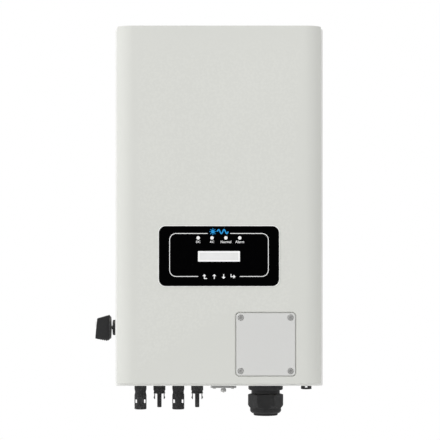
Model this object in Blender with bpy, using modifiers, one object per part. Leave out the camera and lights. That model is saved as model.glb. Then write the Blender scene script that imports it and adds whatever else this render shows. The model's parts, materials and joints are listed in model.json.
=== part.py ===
"""Wall-hung string inverter, modelled piece by piece in metres with +Z up.

The origin is the centre of the wall bracket's rear face. The wall is the plane y = 0 and the
front of the inverter looks along -Y.
"""
import math

import bmesh
import bpy
from mathutils import Matrix, Vector

# Clearances
GAP = 0.0003              # between pieces that touch
RUNNING = 0.0004          # round a piece that turns or slides

# Overall sizes of the rear housing and how it hangs
WIDTH = 0.330
HEIGHT = 0.568
HOUSING_DEPTH = 0.070
HOUSING_WALL = 0.003
HOUSING_CORNER = 0.0025
BRACKET_DROP = 0.154      # bracket centre below the housing's top

# Wall bracket and hanger bar
PLATE = 0.0025
BRACKET_WIDTH = 0.240
BRACKET_UP = 0.040
BRACKET_DOWN = 0.055
LIP_RISE = 0.0192
LIP_REACH = 0.0105
SLOT_WIDTH = 0.008
SLOT_LENGTH = 0.022
HANGER_WIDTH = 0.200
HANGER_DROP = 0.042

# Heat sink
FINS_BACK = 0.016         # wall to the fins' tips
FIN_DEPTH = 0.045
FIN_THICKNESS = 0.002
FIN_COUNT = 30
SINK_BASE = 0.008
SINK_WIDTH_LOSS = 0.030
SINK_MARGIN = 0.015

# Front cover
COVER_DEPTH = 0.0805
COVER_WALL = 0.0025
COVER_SIDE_STEP = 0.0055  # housing flange beside the cover
COVER_TOP_STEP = 0.002
COVER_BOTTOM_STEP = 0.0094
COVER_RADIUS = 0.027
SEAL_THICKNESS = 0.0016
SEAL_INSET = 0.0008
SEAL_WIDTH = 0.004
FLANGE_WIDTH = 0.018
TAB_THICKNESS = 0.003
TAB_LENGTH = 0.024
TAB_REACH = 0.022
COVER_SCREW_INSET = 0.045
COVER_SCREW_REACH = 0.012

# Display panel
OVERLAY_WIDTH = 0.1864
OVERLAY_HEIGHT = 0.093
OVERLAY_RADIUS = 0.0105
OVERLAY_THICKNESS = 0.0012
OVERLAY_RISE = 0.1986     # cover's bottom to the panel's centre
WINDOW_WIDTH = 0.0652
WINDOW_HEIGHT = 0.0164
WINDOW_SHIFT = -0.0004
KEY_SIZE = 0.011
KEY_PITCH = 0.01455
KEY_SHIFT = -0.0317
KEY_TRAVEL = 0.0008
LED_DIAMETER = 0.0054
LED_PITCH = 0.02147
LED_SHIFT = 0.0282
BEHIND_PANEL_WIDTH = 0.150
BEHIND_PANEL_HEIGHT = 0.080
BOARD_SETBACK = 0.0123    # cover's face to the display board's face
BOARD_THICKNESS = 0.0016

# Wiring compartment cover
AC_WIDTH = 0.0918
AC_HEIGHT = 0.0974
AC_RADIUS = 0.005
AC_THICKNESS = 0.0047
AC_FROM_SIDE = 0.0869     # cover's right side to the plate's centre
AC_FROM_BOTTOM = 0.0615   # cover's bottom to the plate's centre
AC_GROOVE = 0.0016
AC_LEDGE = 0.016
AC_FRAME = 0.003
AC_SEAL = 0.001
AC_SCREW_INSET = 0.0072
AC_HEAD_DIAMETER = 0.0086
AC_HEAD_DEPTH = 0.002

# DC switch
SWITCH_RISE = 0.0915      # housing's bottom to the switch's axis
SHAFT_DIAMETER = 0.006
RING_DIAMETER = 0.0247
RING_HEIGHT = 0.0052
SKIRT_GAP = 0.0025
SKIRT_DIAMETER = 0.0356
SKIRT_THICKNESS = 0.0028
GRIP_DEPTH = 0.016
SWITCH_BODY = (0.042, 0.044, 0.056)

# Ports on the underside
PORT_DEPTH = 0.0377       # housing's back to the row of ports
PV_DIAMETER = 0.0194
PV_PITCH = 0.03033
PV_FROM_SIDE = 0.039      # housing's left side to the first connector
PV_SHANK = 0.0114
PV_MOUTH = 0.0150
COMM_WIDTH = 0.041
COMM_LENGTH = 0.034
COMM_HEIGHT = 0.0041
COMM_STEP = 0.0421        # last PV connector to the communication plate
GLAND_FROM_AC = 0.0022
GLAND_THREAD = 0.0394
GLAND_BORE = 0.030
GLAND_CABLE = 0.026
NUT_CORNERS = 0.0571
VENT_FROM_SIDE = 0.025
VENT_DIAMETER = 0.0173
VENT_SHANK = 0.0114

# Levels and places worked out from the sizes above
Y_SINK_BACK = -FINS_BACK - FIN_DEPTH
Y_SINK_FRONT = Y_SINK_BACK - SINK_BASE
Y_BACK = Y_SINK_FRONT - GAP
Y_FLANGE = Y_BACK - HOUSING_DEPTH
Y_SEAL = Y_FLANGE - GAP
Y_COVER = Y_SEAL - SEAL_THICKNESS - GAP
Y_FACE = Y_COVER - COVER_DEPTH
Y_PORTS = Y_BACK - PORT_DEPTH
Z_TOP = BRACKET_DROP
Z_BOTTOM = BRACKET_DROP - HEIGHT
Z_COVER_TOP = Z_TOP - COVER_TOP_STEP
Z_COVER_BOTTOM = Z_BOTTOM + COVER_BOTTOM_STEP
X_SIDE = WIDTH / 2
X_COVER = X_SIDE - COVER_SIDE_STEP
Z_PANEL = Z_COVER_BOTTOM + OVERLAY_RISE
X_AC = X_COVER - AC_FROM_SIDE
Z_AC = Z_COVER_BOTTOM + AC_FROM_BOTTOM
Z_SWITCH = Z_BOTTOM + SWITCH_RISE
X_PV = [-X_SIDE + PV_FROM_SIDE + index * PV_PITCH for index in range(4)]
X_COMM = X_PV[-1] + COMM_STEP
X_GLAND = X_AC + GLAND_FROM_AC
X_VENT = X_SIDE - VENT_FROM_SIDE
Y_INSIDE = Y_BACK - HOUSING_WALL
Z_INSIDE = Z_BOTTOM + HOUSING_WALL

for old in list(bpy.data.objects):
    bpy.data.objects.remove(old)

PARTS = bpy.data.collections.new("string_inverter")
TOOLS = bpy.data.collections.new("cutters")
bpy.context.scene.collection.children.link(PARTS)
bpy.context.scene.collection.children.link(TOOLS)


def finish(name, colour, roughness, metallic=0.0):
    """A plain material for one kind of piece."""
    material = bpy.data.materials.new(name)
    material.use_nodes = True
    shader = material.node_tree.nodes["Principled BSDF"]
    shader.inputs["Base Color"].default_value = (*colour, 1.0)
    shader.inputs["Roughness"].default_value = roughness
    shader.inputs["Metallic"].default_value = metallic
    material.diffuse_color = (*colour, 1.0)
    return material


# Shapes. Each function returns an object that isn't in a collection yet.

def mesh_object(mesh, place=(0, 0, 0)):
    """A new object at a place that holds the mesh."""
    shape = bpy.data.objects.new("shape", mesh)
    shape.location = place
    return shape


def from_bmesh(work):
    """Turn a bmesh into a mesh and free it."""
    mesh = bpy.data.meshes.new("shape")
    work.to_mesh(mesh)
    work.free()
    return mesh


def block(low, high, radius=0.0, along="Y", segments=5):
    """A box between two corners, its edges along one axis rounded."""
    low = Vector(low)
    high = Vector(high)
    work = bmesh.new()
    bmesh.ops.create_cube(work, size=1.0)
    bmesh.ops.scale(work, vec=high - low, verts=work.verts)
    if radius > 0:
        axis = "XYZ".index(along)
        edges = []
        for edge in work.edges:
            run = edge.verts[0].co - edge.verts[1].co
            if abs(run[axis]) > run.length * 0.99:
                edges.append(edge)
        bmesh.ops.bevel(work, geom=edges, offset=radius, segments=segments, profile=0.5, affect="EDGES")
    return mesh_object(from_bmesh(work), (low + high) / 2)


def centred(size, centre, radius=0.0, along="Y", segments=5):
    """A box of a size round a centre."""
    half = Vector(size) / 2
    middle = Vector(centre)
    return block(middle - half, middle + half, radius, along, segments)


def rod(diameter, start, end, segments=24):
    """A cylinder between two points."""
    start = Vector(start)
    end = Vector(end)
    run = end - start
    work = bmesh.new()
    bmesh.ops.create_cone(
        work, cap_ends=True, segments=segments,
        radius1=diameter / 2, radius2=diameter / 2, depth=run.length,
    )
    shape = mesh_object(from_bmesh(work), (start + end) / 2)
    shape.rotation_mode = "QUATERNION"
    shape.rotation_quaternion = Vector((0, 0, 1)).rotation_difference(run.normalized())
    shape.data.shade_smooth()
    shape.data.set_sharp_from_angle(angle=math.radians(40))
    return shape


def turned(profile, place, towards=(0, 0, 1), steps=24, closed=False):
    """A profile of (radius, height), top to bottom, turned about an axis through a place."""
    mesh = bpy.data.meshes.new("profile")
    points = [(radius, 0.0, height) for radius, height in profile]
    edges = [(index, index + 1) for index in range(len(points) - 1)]
    if closed:
        edges.append((len(points) - 1, 0))
    mesh.from_pydata(points, edges, [])
    shape = mesh_object(mesh, place)
    shape.rotation_mode = "QUATERNION"
    shape.rotation_quaternion = Vector((0, 0, 1)).rotation_difference(Vector(towards))
    screw = shape.modifiers.new("turn", "SCREW")
    screw.axis = "Z"
    screw.steps = steps
    screw.render_steps = steps
    screw.use_merge_vertices = True
    screw.merge_threshold = 0.00001
    screw.use_smooth_shade = False
    return shape


def extruded(outline, thickness, centre, along):
    """A flat outline given a thickness along X, Y or Z.

    The outline's two axes are Y and Z along X, X and Z along Y, and X and Y along Z.
    """
    curve = bpy.data.curves.new("outline", "CURVE")
    curve.dimensions = "2D"
    curve.fill_mode = "BOTH"
    curve.extrude = thickness / 2
    spline = curve.splines.new("POLY")
    spline.points.add(len(outline) - 1)
    for point, (first, second) in zip(spline.points, outline):
        point.co = (first, second, 0.0, 1.0)
    spline.use_cyclic_u = True
    drawn = bpy.data.objects.new("outline", curve)
    TOOLS.objects.link(drawn)
    solid = bpy.data.meshes.new_from_object(drawn.evaluated_get(bpy.context.evaluated_depsgraph_get()))
    bpy.data.objects.remove(drawn)
    turns = {
        "X": Matrix(((0, 0, 1), (1, 0, 0), (0, 1, 0))),
        "Y": Matrix(((1, 0, 0), (0, 0, -1), (0, 1, 0))),
        "Z": Matrix.Identity(3),
    }
    solid.transform(turns[along].to_4x4())
    work = bmesh.new()
    work.from_mesh(solid)
    bmesh.ops.remove_doubles(work, verts=work.verts, dist=0.00001)
    bmesh.ops.recalc_face_normals(work, faces=work.faces)
    return mesh_object(from_bmesh(work), centre)


def part(name, shape, material):
    """Make a shape one named piece of the inverter."""
    shape.name = name
    shape.data.name = name
    shape.data.materials.clear()
    shape.data.materials.append(material)
    PARTS.objects.link(shape)
    return shape


def combine(target, shapes, operation):
    """Give a piece one Boolean for each shape."""
    for shape in shapes:
        shape.name = target.name + "_" + operation.lower()
        shape.hide_render = True
        shape.display_type = "WIRE"
        TOOLS.objects.link(shape)
        boolean = target.modifiers.new(operation.lower(), "BOOLEAN")
        boolean.operation = operation
        boolean.solver = "EXACT"
        boolean.object = shape


def cut(target, *shapes):
    """Take shapes away from a piece."""
    combine(target, shapes, "DIFFERENCE")


def fuse(target, *shapes):
    """Add shapes to a piece."""
    combine(target, shapes, "UNION")


# Materials
PAINT = finish("painted_metal", (0.66, 0.66, 0.63), 0.45)
PAINT_PLATE = finish("painted_plate", (0.64, 0.64, 0.62), 0.5)
CAST = finish("cast_housing", (0.55, 0.55, 0.53), 0.5)
SINK = finish("extruded_aluminium", (0.62, 0.63, 0.64), 0.4, 0.9)
ZINC = finish("zinc_plate", (0.55, 0.56, 0.57), 0.4, 0.9)
STEEL = finish("screw_steel", (0.6, 0.6, 0.6), 0.35, 1.0)
RUBBER = finish("seal_rubber", (0.03, 0.03, 0.03), 0.8)
PANEL = finish("panel_black", (0.004, 0.004, 0.005), 0.25)
CLEAR = finish("window_clear", (0.8, 0.82, 0.82), 0.1)
LENS = finish("led_lens", (0.85, 0.85, 0.85), 0.3)
BLACK = finish("black_nylon", (0.03, 0.03, 0.032), 0.5)
NATURAL = finish("natural_nylon", (0.8, 0.79, 0.75), 0.45)
BOARD = finish("circuit_board", (0.02, 0.13, 0.06), 0.5)
CASE = finish("component_case", (0.05, 0.05, 0.06), 0.5)
COPPER = finish("contact_metal", (0.75, 0.62, 0.4), 0.3, 1.0)
BRASS = finish("nickel_brass", (0.68, 0.66, 0.6), 0.3, 1.0)


def wall_bracket():
    """Sheet bracket on the wall, its top bent forward and up into a lip that carries the inverter."""
    lip_top = BRACKET_UP + LIP_RISE
    outline = [
        (0.0, -BRACKET_DOWN), (0.0, BRACKET_UP), (PLATE - LIP_REACH, BRACKET_UP),
        (PLATE - LIP_REACH, lip_top), (-LIP_REACH, lip_top), (-LIP_REACH, BRACKET_UP - PLATE),
        (-PLATE, BRACKET_UP - PLATE), (-PLATE, -BRACKET_DOWN),
    ]
    plate = part("wall_bracket", extruded(outline, BRACKET_WIDTH, (0, 0, 0), "X"), ZINC)
    slot_x = BRACKET_WIDTH / 2 - 0.030
    for x in (-slot_x, slot_x):
        for z in (-BRACKET_DOWN + 0.015, BRACKET_UP - 0.020):
            size = (SLOT_LENGTH, 4 * PLATE, SLOT_WIDTH)
            cut(plate, centred(size, (x, -PLATE / 2, z), SLOT_WIDTH * 0.49, "Y", 4))


def hanger_bar():
    """Sheet bar on the tips of the fins, its top bent over the bracket's lip."""
    front = -FINS_BACK + GAP
    back = front + PLATE
    lip_top = BRACKET_UP + LIP_RISE
    tongue = -LIP_REACH + PLATE + 0.002
    outline = [
        (front, lip_top - HANGER_DROP), (front, lip_top + GAP + PLATE),
        (tongue + PLATE, lip_top + GAP + PLATE), (tongue + PLATE, BRACKET_UP + 0.005),
        (tongue, BRACKET_UP + 0.005), (tongue, lip_top + GAP),
        (back, lip_top + GAP), (back, lip_top - HANGER_DROP),
    ]
    part("hanger_bar", extruded(outline, HANGER_WIDTH, (0, 0, 0), "X"), ZINC)


def heat_sink():
    """Extruded aluminium comb, its fins upright and towards the wall."""
    half = (WIDTH - SINK_WIDTH_LOSS) / 2
    pitch = (2 * half - FIN_THICKNESS) / (FIN_COUNT - 1)
    outline = [(-half, Y_SINK_FRONT), (half, Y_SINK_FRONT)]
    for index in range(FIN_COUNT):
        right = half - index * pitch
        left = right - FIN_THICKNESS
        outline += [(right, Y_SINK_BACK), (right, -FINS_BACK), (left, -FINS_BACK), (left, Y_SINK_BACK)]
    length = HEIGHT - 2 * SINK_MARGIN
    comb = part("heat_sink", extruded(outline, length, (0, 0, (Z_TOP + Z_BOTTOM) / 2), "Z"), SINK)
    foot = Z_BOTTOM + SINK_MARGIN
    middle = (Y_SINK_BACK + Y_SINK_FRONT) / 2
    place = (half - 0.040, middle)
    cut(comb, rod(0.0046, (*place, foot - 0.01), (*place, foot + 0.013), 16))
    earth = turned(
        [(0, 0.012), (0.002, 0.012), (0.002, -GAP), (0.0038, -GAP), (0.0038, -0.0035), (0, -0.0035)],
        (*place, foot), steps=16,
    )
    part("ground_screw", earth, BRASS)


def rear_housing():
    """Cast tub behind the cover: walls, an inward flange, four screw tabs and the holes for the ports."""
    low = (-X_SIDE, Y_FLANGE, Z_BOTTOM)
    high = (X_SIDE, Y_BACK, Z_TOP)
    tub = part("rear_housing", block(low, high, HOUSING_CORNER, "Y", 4), CAST)
    wall = HOUSING_WALL
    cut(tub, block((-X_SIDE + wall, Y_FLANGE + wall, Z_INSIDE), (X_SIDE - wall, Y_INSIDE, Z_TOP - wall)))
    mouth_low = (-X_COVER + FLANGE_WIDTH, Y_FLANGE - wall, Z_COVER_BOTTOM + FLANGE_WIDTH)
    mouth_high = (X_COVER - FLANGE_WIDTH, Y_FLANGE + 2 * wall, Z_COVER_TOP - FLANGE_WIDTH)
    cut(tub, block(mouth_low, mouth_high))
    tab_x = X_COVER - SEAL_INSET - SEAL_WIDTH - GAP
    for side in (-1, 1):
        for z in cover_screw_heights():
            inner = side * (tab_x - TAB_THICKNESS)
            outer = side * tab_x
            tab_low = (min(inner, outer), Y_FLANGE - TAB_REACH, z - TAB_LENGTH / 2)
            tab_high = (max(inner, outer), Y_FLANGE + wall / 2, z + TAB_LENGTH / 2)
            fuse(tub, block(tab_low, tab_high))
            start = (side * (tab_x - 0.01), Y_COVER - COVER_SCREW_REACH, z)
            cut(tub, rod(0.0046, start, (side * (tab_x + 0.01), *start[1:]), 16))
    through = (Z_BOTTOM - 0.01, Z_INSIDE + 0.01)
    holes = [(x, PV_SHANK) for x in X_PV] + [(X_GLAND, GLAND_THREAD), (X_VENT, VENT_SHANK)]
    for x, diameter in holes:
        width = diameter + 2 * GAP
        cut(tub, rod(width, (x, Y_PORTS, through[0]), (x, Y_PORTS, through[1]), 24))
    comm_low = (X_COMM - COMM_WIDTH / 2 + 0.010, Y_PORTS - COMM_LENGTH / 2 + 0.007, through[0])
    comm_high = (X_COMM + COMM_WIDTH / 2 - 0.010, Y_PORTS + COMM_LENGTH / 2 - 0.007, through[1])
    cut(tub, block(comm_low, comm_high))
    for x in comm_screw_places():
        cut(tub, rod(0.0036, (x, Y_PORTS, through[0]), (x, Y_PORTS, through[1]), 12))
    start = (-X_SIDE - 0.01, Y_PORTS, Z_SWITCH)
    cut(tub, rod(SHAFT_DIAMETER + 0.002, start, (-X_SIDE + 0.01, *start[1:]), 20))


def cover_screw_heights():
    """Heights of the screws in the cover's sides."""
    return (Z_COVER_BOTTOM + COVER_SCREW_INSET, Z_COVER_TOP - COVER_SCREW_INSET)


def comm_screw_places():
    """Places along X of the communication plate's two screws."""
    return (X_COMM - COMM_WIDTH / 2 + 0.006, X_COMM + COMM_WIDTH / 2 - 0.006)


def housing_seal():
    """Flat rubber frame between the housing's flange and the cover's edge."""
    outer = SEAL_INSET
    inner = SEAL_INSET + SEAL_WIDTH
    low = Vector((-X_COVER + outer, Y_SEAL - SEAL_THICKNESS, Z_COVER_BOTTOM + outer))
    high = Vector((X_COVER - outer, Y_SEAL, Z_COVER_TOP - outer))
    frame = part("housing_gasket", block(low, high), RUBBER)
    shrink = Vector((inner - outer, -0.002, inner - outer))
    cut(frame, block(low + shrink, high - shrink))


def front_cover():
    """Formed sheet cover with two rounded long edges and a recess for the wiring cover."""
    low = Vector((-X_COVER, Y_FACE, Z_COVER_BOTTOM))
    high = Vector((X_COVER, Y_COVER, Z_COVER_TOP))
    work = bmesh.new()
    bmesh.ops.create_cube(work, size=1.0)
    bmesh.ops.scale(work, vec=high - low, verts=work.verts)
    back = [face for face in work.faces if face.normal.y > 0.9]
    bmesh.ops.delete(work, geom=back, context="FACES")
    edges = []
    for edge in work.edges:
        upright = abs(edge.verts[0].co.z - edge.verts[1].co.z) > COVER_DEPTH
        if upright and edge.verts[0].co.y < 0:
            edges.append(edge)
    bmesh.ops.bevel(work, geom=edges, offset=COVER_RADIUS, segments=8, profile=0.5, affect="EDGES")
    cover = part("front_cover", mesh_object(from_bmesh(work), (low + high) / 2), PAINT)
    shell = cover.modifiers.new("sheet", "SOLIDIFY")
    shell.thickness = COVER_WALL
    shell.offset = -1.0
    shell.use_even_offset = True
    plate_x = AC_WIDTH / 2 + AC_GROOVE
    plate_z = AC_HEIGHT / 2 + AC_GROOVE
    recess = AC_THICKNESS + AC_SEAL + 2 * GAP
    frame_low = (X_AC - plate_x - AC_FRAME, Y_FACE + COVER_WALL / 2, Z_AC - plate_z - AC_FRAME)
    frame_high = (X_AC + plate_x + AC_FRAME, Y_FACE + recess + AC_FRAME, Z_AC + plate_z + AC_FRAME)
    fuse(cover, block(frame_low, frame_high))
    pocket_low = (X_AC - plate_x, Y_FACE - 0.002, Z_AC - plate_z)
    pocket_high = (X_AC + plate_x, Y_FACE + recess, Z_AC + plate_z)
    cut(cover, block(pocket_low, pocket_high, AC_RADIUS + AC_GROOVE, "Y", 4))
    hand_low = (X_AC - plate_x + AC_LEDGE, Y_FACE - 0.004, Z_AC - plate_z + AC_LEDGE)
    hand_high = (X_AC + plate_x - AC_LEDGE, Y_FACE + 0.02, Z_AC + plate_z - AC_LEDGE)
    cut(cover, block(hand_low, hand_high, AC_RADIUS, "Y", 3))
    for x, z in ac_screw_places():
        cut(cover, rod(0.0046, (x, Y_FACE - 0.006, z), (x, Y_FACE + 0.022, z), 16))
    behind = (BEHIND_PANEL_WIDTH, 0.02, BEHIND_PANEL_HEIGHT)
    cut(cover, centred(behind, (0, Y_FACE, Z_PANEL), 0.004, "Y", 2))
    post_x = BEHIND_PANEL_WIDTH / 2 + 0.004
    post_z = BEHIND_PANEL_HEIGHT / 2 - 0.010
    for x in (-post_x, post_x):
        for z in (Z_PANEL - post_z, Z_PANEL + post_z):
            fuse(cover, rod(0.007, (x, Y_FACE + COVER_WALL / 2, z), (x, Y_FACE + BOARD_SETBACK - GAP, z), 12))
    for side in (-1, 1):
        for z in cover_screw_heights():
            place = (side * (X_COVER - GAP), Y_COVER - COVER_SCREW_REACH, z)
            cut(cover, turned(screw_cone(GAP, 0.004), place, (side, 0, 0), 16))


def screw_cone(clearance, length):
    """Profile of a countersunk screw, or of its hole, with its head's face at height zero."""
    head = 0.0042 + clearance
    neck = 0.0020 + clearance
    face = clearance * 4
    sink = -0.0004 - clearance
    return [(0, face), (head, face), (head, sink), (neck, sink - 0.0018), (neck, -length), (0, -length)]


def cover_screws():
    """Flush screws through the cover's sides into the housing's tabs."""
    number = 0
    for side in (-1, 1):
        for z in cover_screw_heights():
            number += 1
            place = (side * (X_COVER - GAP), Y_COVER - COVER_SCREW_REACH, z)
            screw = turned(screw_cone(0.0, 0.0105), place, (side, 0, 0), 16)
            part(f"cover_screw_{number}", screw, STEEL)


def display():
    """Black panel sheet with its window, lights and keys, and the board behind it."""
    front = Y_FACE - GAP - OVERLAY_THICKNESS
    back = Y_FACE - GAP
    sheet = centred((OVERLAY_WIDTH, OVERLAY_THICKNESS, OVERLAY_HEIGHT), (0, (front + back) / 2, Z_PANEL),
                    OVERLAY_RADIUS, "Y", 5)
    overlay = part("display_overlay", sheet, PANEL)
    z_window = Z_PANEL + WINDOW_SHIFT
    opening = (WINDOW_WIDTH + 2 * GAP, 0.01, WINDOW_HEIGHT + 2 * GAP)
    cut(overlay, centred(opening, (0, front, z_window)))
    pane = (WINDOW_WIDTH, OVERLAY_THICKNESS, WINDOW_HEIGHT)
    part("lcd_window", centred(pane, (0, (front + back) / 2, z_window)), CLEAR)

    board_face = Y_FACE + BOARD_SETBACK
    board_size = (BEHIND_PANEL_WIDTH + 0.016, BOARD_THICKNESS, BEHIND_PANEL_HEIGHT - 0.004)
    board_centre = (0, board_face + BOARD_THICKNESS / 2, Z_PANEL)
    board = part("display_board", centred(board_size, board_centre), BOARD)
    module_depth = BOARD_SETBACK - 2 * GAP
    module_centre = (0, board_face - GAP - module_depth / 2, z_window)
    module = centred((0.080, module_depth, WINDOW_HEIGHT + 0.012), module_centre)
    part("lcd_module", module, CASE)

    switch_height = 0.0035
    stem_end = board_face - switch_height - KEY_TRAVEL - GAP
    for index, name in enumerate(("key_back", "key_up", "key_down", "key_enter")):
        x = (index - 1.5) * KEY_PITCH
        z = Z_PANEL + KEY_SHIFT
        key_hole = (KEY_SIZE + 2 * GAP, 0.01, KEY_SIZE + 2 * GAP)
        cut(overlay, centred(key_hole, (x, front, z), 0.0015, "Y", 2))
        body = (x, board_face - switch_height / 2 + 0.0002, z)
        fuse(board, centred((0.006, switch_height + 0.0004, 0.006), body))
        cap_back = back + GAP + 0.0004
        cap = block((-KEY_SIZE / 2, 0, -KEY_SIZE / 2), (KEY_SIZE / 2, cap_back - front, KEY_SIZE / 2),
                    0.0015, "Y", 2)
        cap.data.transform(Matrix.Translation(cap.location))
        cap.location = (x, front, z)
        key = part(name, cap, PANEL)
        rim = KEY_SIZE / 2 + 0.001
        fuse(key, block((x - rim, back + GAP, z - rim), (x + rim, back + GAP + 0.0008, z + rim)))
        fuse(key, rod(0.003, (x, cap_back - 0.0005, z), (x, stem_end, z), 12))

    pipe_end = board_face - GAP
    for index in range(4):
        x = (index - 1.5) * LED_PITCH
        z = Z_PANEL + LED_SHIFT
        cut(overlay, rod(LED_DIAMETER + 2 * GAP, (x, front - 0.002, z), (x, back + 0.002, z), 20))
        part(f"led_lens_{index + 1}", rod(LED_DIAMETER, (x, front, z), (x, pipe_end, z), 20), LENS)


def ac_screw_places():
    """Places along X and Z of the wiring cover's four screws."""
    half_x = AC_WIDTH / 2 - AC_SCREW_INSET
    half_z = AC_HEIGHT / 2 - AC_SCREW_INSET
    return [(X_AC + x, Z_AC + z) for z in (half_z, -half_z) for x in (-half_x, half_x)]


def wiring_cover():
    """Flush plate over the wiring compartment, its seal, its screws and the terminals behind it."""
    centre = (X_AC, Y_FACE + AC_THICKNESS / 2, Z_AC)
    sheet = centred((AC_WIDTH, AC_THICKNESS, AC_HEIGHT), centre, AC_RADIUS, "Y", 4)
    plate = part("ac_cover", sheet, PAINT_PLATE)
    ledge = Y_FACE + AC_THICKNESS + AC_SEAL + 2 * GAP
    seal_centre = (X_AC, Y_FACE + AC_THICKNESS + GAP + AC_SEAL / 2, Z_AC)
    seal_size = Vector((AC_WIDTH - 0.004, AC_SEAL, AC_HEIGHT - 0.004))
    seal = part("ac_cover_gasket", centred(seal_size, seal_centre, AC_RADIUS, "Y", 2), RUBBER)
    cut(seal, centred(seal_size - Vector((0.0055, -0.01, 0.0055)), seal_centre, 0.003, "Y", 2))
    head = AC_HEAD_DIAMETER / 2
    for index, (x, z) in enumerate(ac_screw_places()):
        bottom = Y_FACE + AC_HEAD_DEPTH + GAP
        recess = rod(AC_HEAD_DIAMETER + 0.0007, (x, Y_FACE - 0.002, z), (x, bottom, z), 20)
        cut(plate, recess, rod(0.0046, (x, Y_FACE, z), (x, Y_FACE + 0.01, z), 16))
        tip = -(AC_THICKNESS + AC_SEAL + 0.003)
        profile = [(0, 0), (head - 0.0006, 0), (head, -0.0006), (head, -AC_HEAD_DEPTH),
                   (0.002, -AC_HEAD_DEPTH), (0.002, tip), (0, tip)]
        screw = turned(profile, (x, Y_FACE, z), (0, -1, 0), 20)
        part(f"ac_cover_screw_{index + 1}", screw, STEEL)

    rail = Y_INSIDE - GAP
    front = Y_FLANGE - 0.030
    depth = 0.028
    body_size = (0.066, depth, 0.030)
    body = centred(body_size, (X_AC, front + depth / 2, Z_AC), 0.002, "X", 2)
    terminals = part("ac_terminal_block", body, BLACK)
    foot = block((X_AC - 0.030, front + depth - 0.001, Z_AC + 0.008), (X_AC + 0.030, rail, Z_AC + 0.011))
    fuse(terminals, foot)
    for index in range(5):
        x = X_AC + (index - 2) * 0.0125
        entry = block((x - 0.0042, front + 0.010, Z_AC - 0.02), (x + 0.0042, front + 0.018, Z_AC + 0.004))
        cut(terminals, entry)
        cut(terminals, rod(0.006, (x, front - 0.002, Z_AC), (x, front + 0.006, Z_AC), 12))


def dc_switch():
    """Rotary isolator on the left wall: collar, shaft and knob outside, switch body inside."""
    ring_face = -X_SIDE - GAP - RING_HEIGHT
    wall_point = (-X_SIDE - GAP, Y_PORTS, Z_SWITCH)
    height = RING_HEIGHT
    outer = RING_DIAMETER / 2
    bore = SHAFT_DIAMETER / 2 + 0.001
    profile = [(outer - 0.0015, height), (outer, height - 0.0015), (outer, 0), (bore, 0), (bore, height)]
    part("dc_switch_escutcheon", turned(profile, wall_point, (-1, 0, 0), 28, closed=True), BLACK)

    skirt_back = ring_face - SKIRT_GAP
    skirt_front = skirt_back - SKIRT_THICKNESS
    shaft_end = skirt_front - 0.008
    shaft_start = -X_SIDE + HOUSING_WALL + 0.020
    axis_start = (shaft_start, Y_PORTS, Z_SWITCH)
    part("dc_switch_shaft", rod(SHAFT_DIAMETER, axis_start, (shaft_end, Y_PORTS, Z_SWITCH), 16), NATURAL)

    radius = SKIRT_DIAMETER / 2
    place = (skirt_back, Y_PORTS, Z_SWITCH)
    disc = [(0, SKIRT_THICKNESS), (radius - 0.0006, SKIRT_THICKNESS), (radius, SKIRT_THICKNESS - 0.0006),
            (radius, 0), (0, 0)]
    knob = part("dc_switch_knob", turned(disc, place, (-1, 0, 0), 32), BLACK)
    grip = [(skirt_front + 0.001, 0.0185), (skirt_front - 0.0004, 0.0202), (skirt_front - 0.0194, 0.0148),
            (skirt_front - 0.0229, -0.0172), (skirt_front - 0.0027, -0.0212), (skirt_front + 0.001, -0.0185)]
    handle = extruded(grip, GRIP_DEPTH, (0, Y_PORTS, Z_SWITCH), "Y")
    soften = handle.modifiers.new("soft edges", "BEVEL")
    soften.width = 0.0018
    soften.segments = 2
    fuse(knob, handle)
    bore_end = (shaft_end - GAP, Y_PORTS, Z_SWITCH)
    cut(knob, rod(SHAFT_DIAMETER + 2 * GAP, (skirt_back + 0.001, Y_PORTS, Z_SWITCH), bore_end, 16))

    length, depth, tall = SWITCH_BODY
    low_x = -X_SIDE + HOUSING_WALL + GAP
    body = block((low_x, Y_PORTS - depth / 2, Z_SWITCH - tall / 2),
                 (low_x + length, Y_PORTS + depth / 2, Z_SWITCH + tall / 2), 0.003, "X", 2)
    switch = part("dc_switch_body", body, BLACK)
    bore_low = (low_x - 0.001, Y_PORTS, Z_SWITCH)
    cut(switch, rod(SHAFT_DIAMETER + 2 * RUNNING, bore_low, (shaft_start + 0.001, Y_PORTS, Z_SWITCH), 16))


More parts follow.
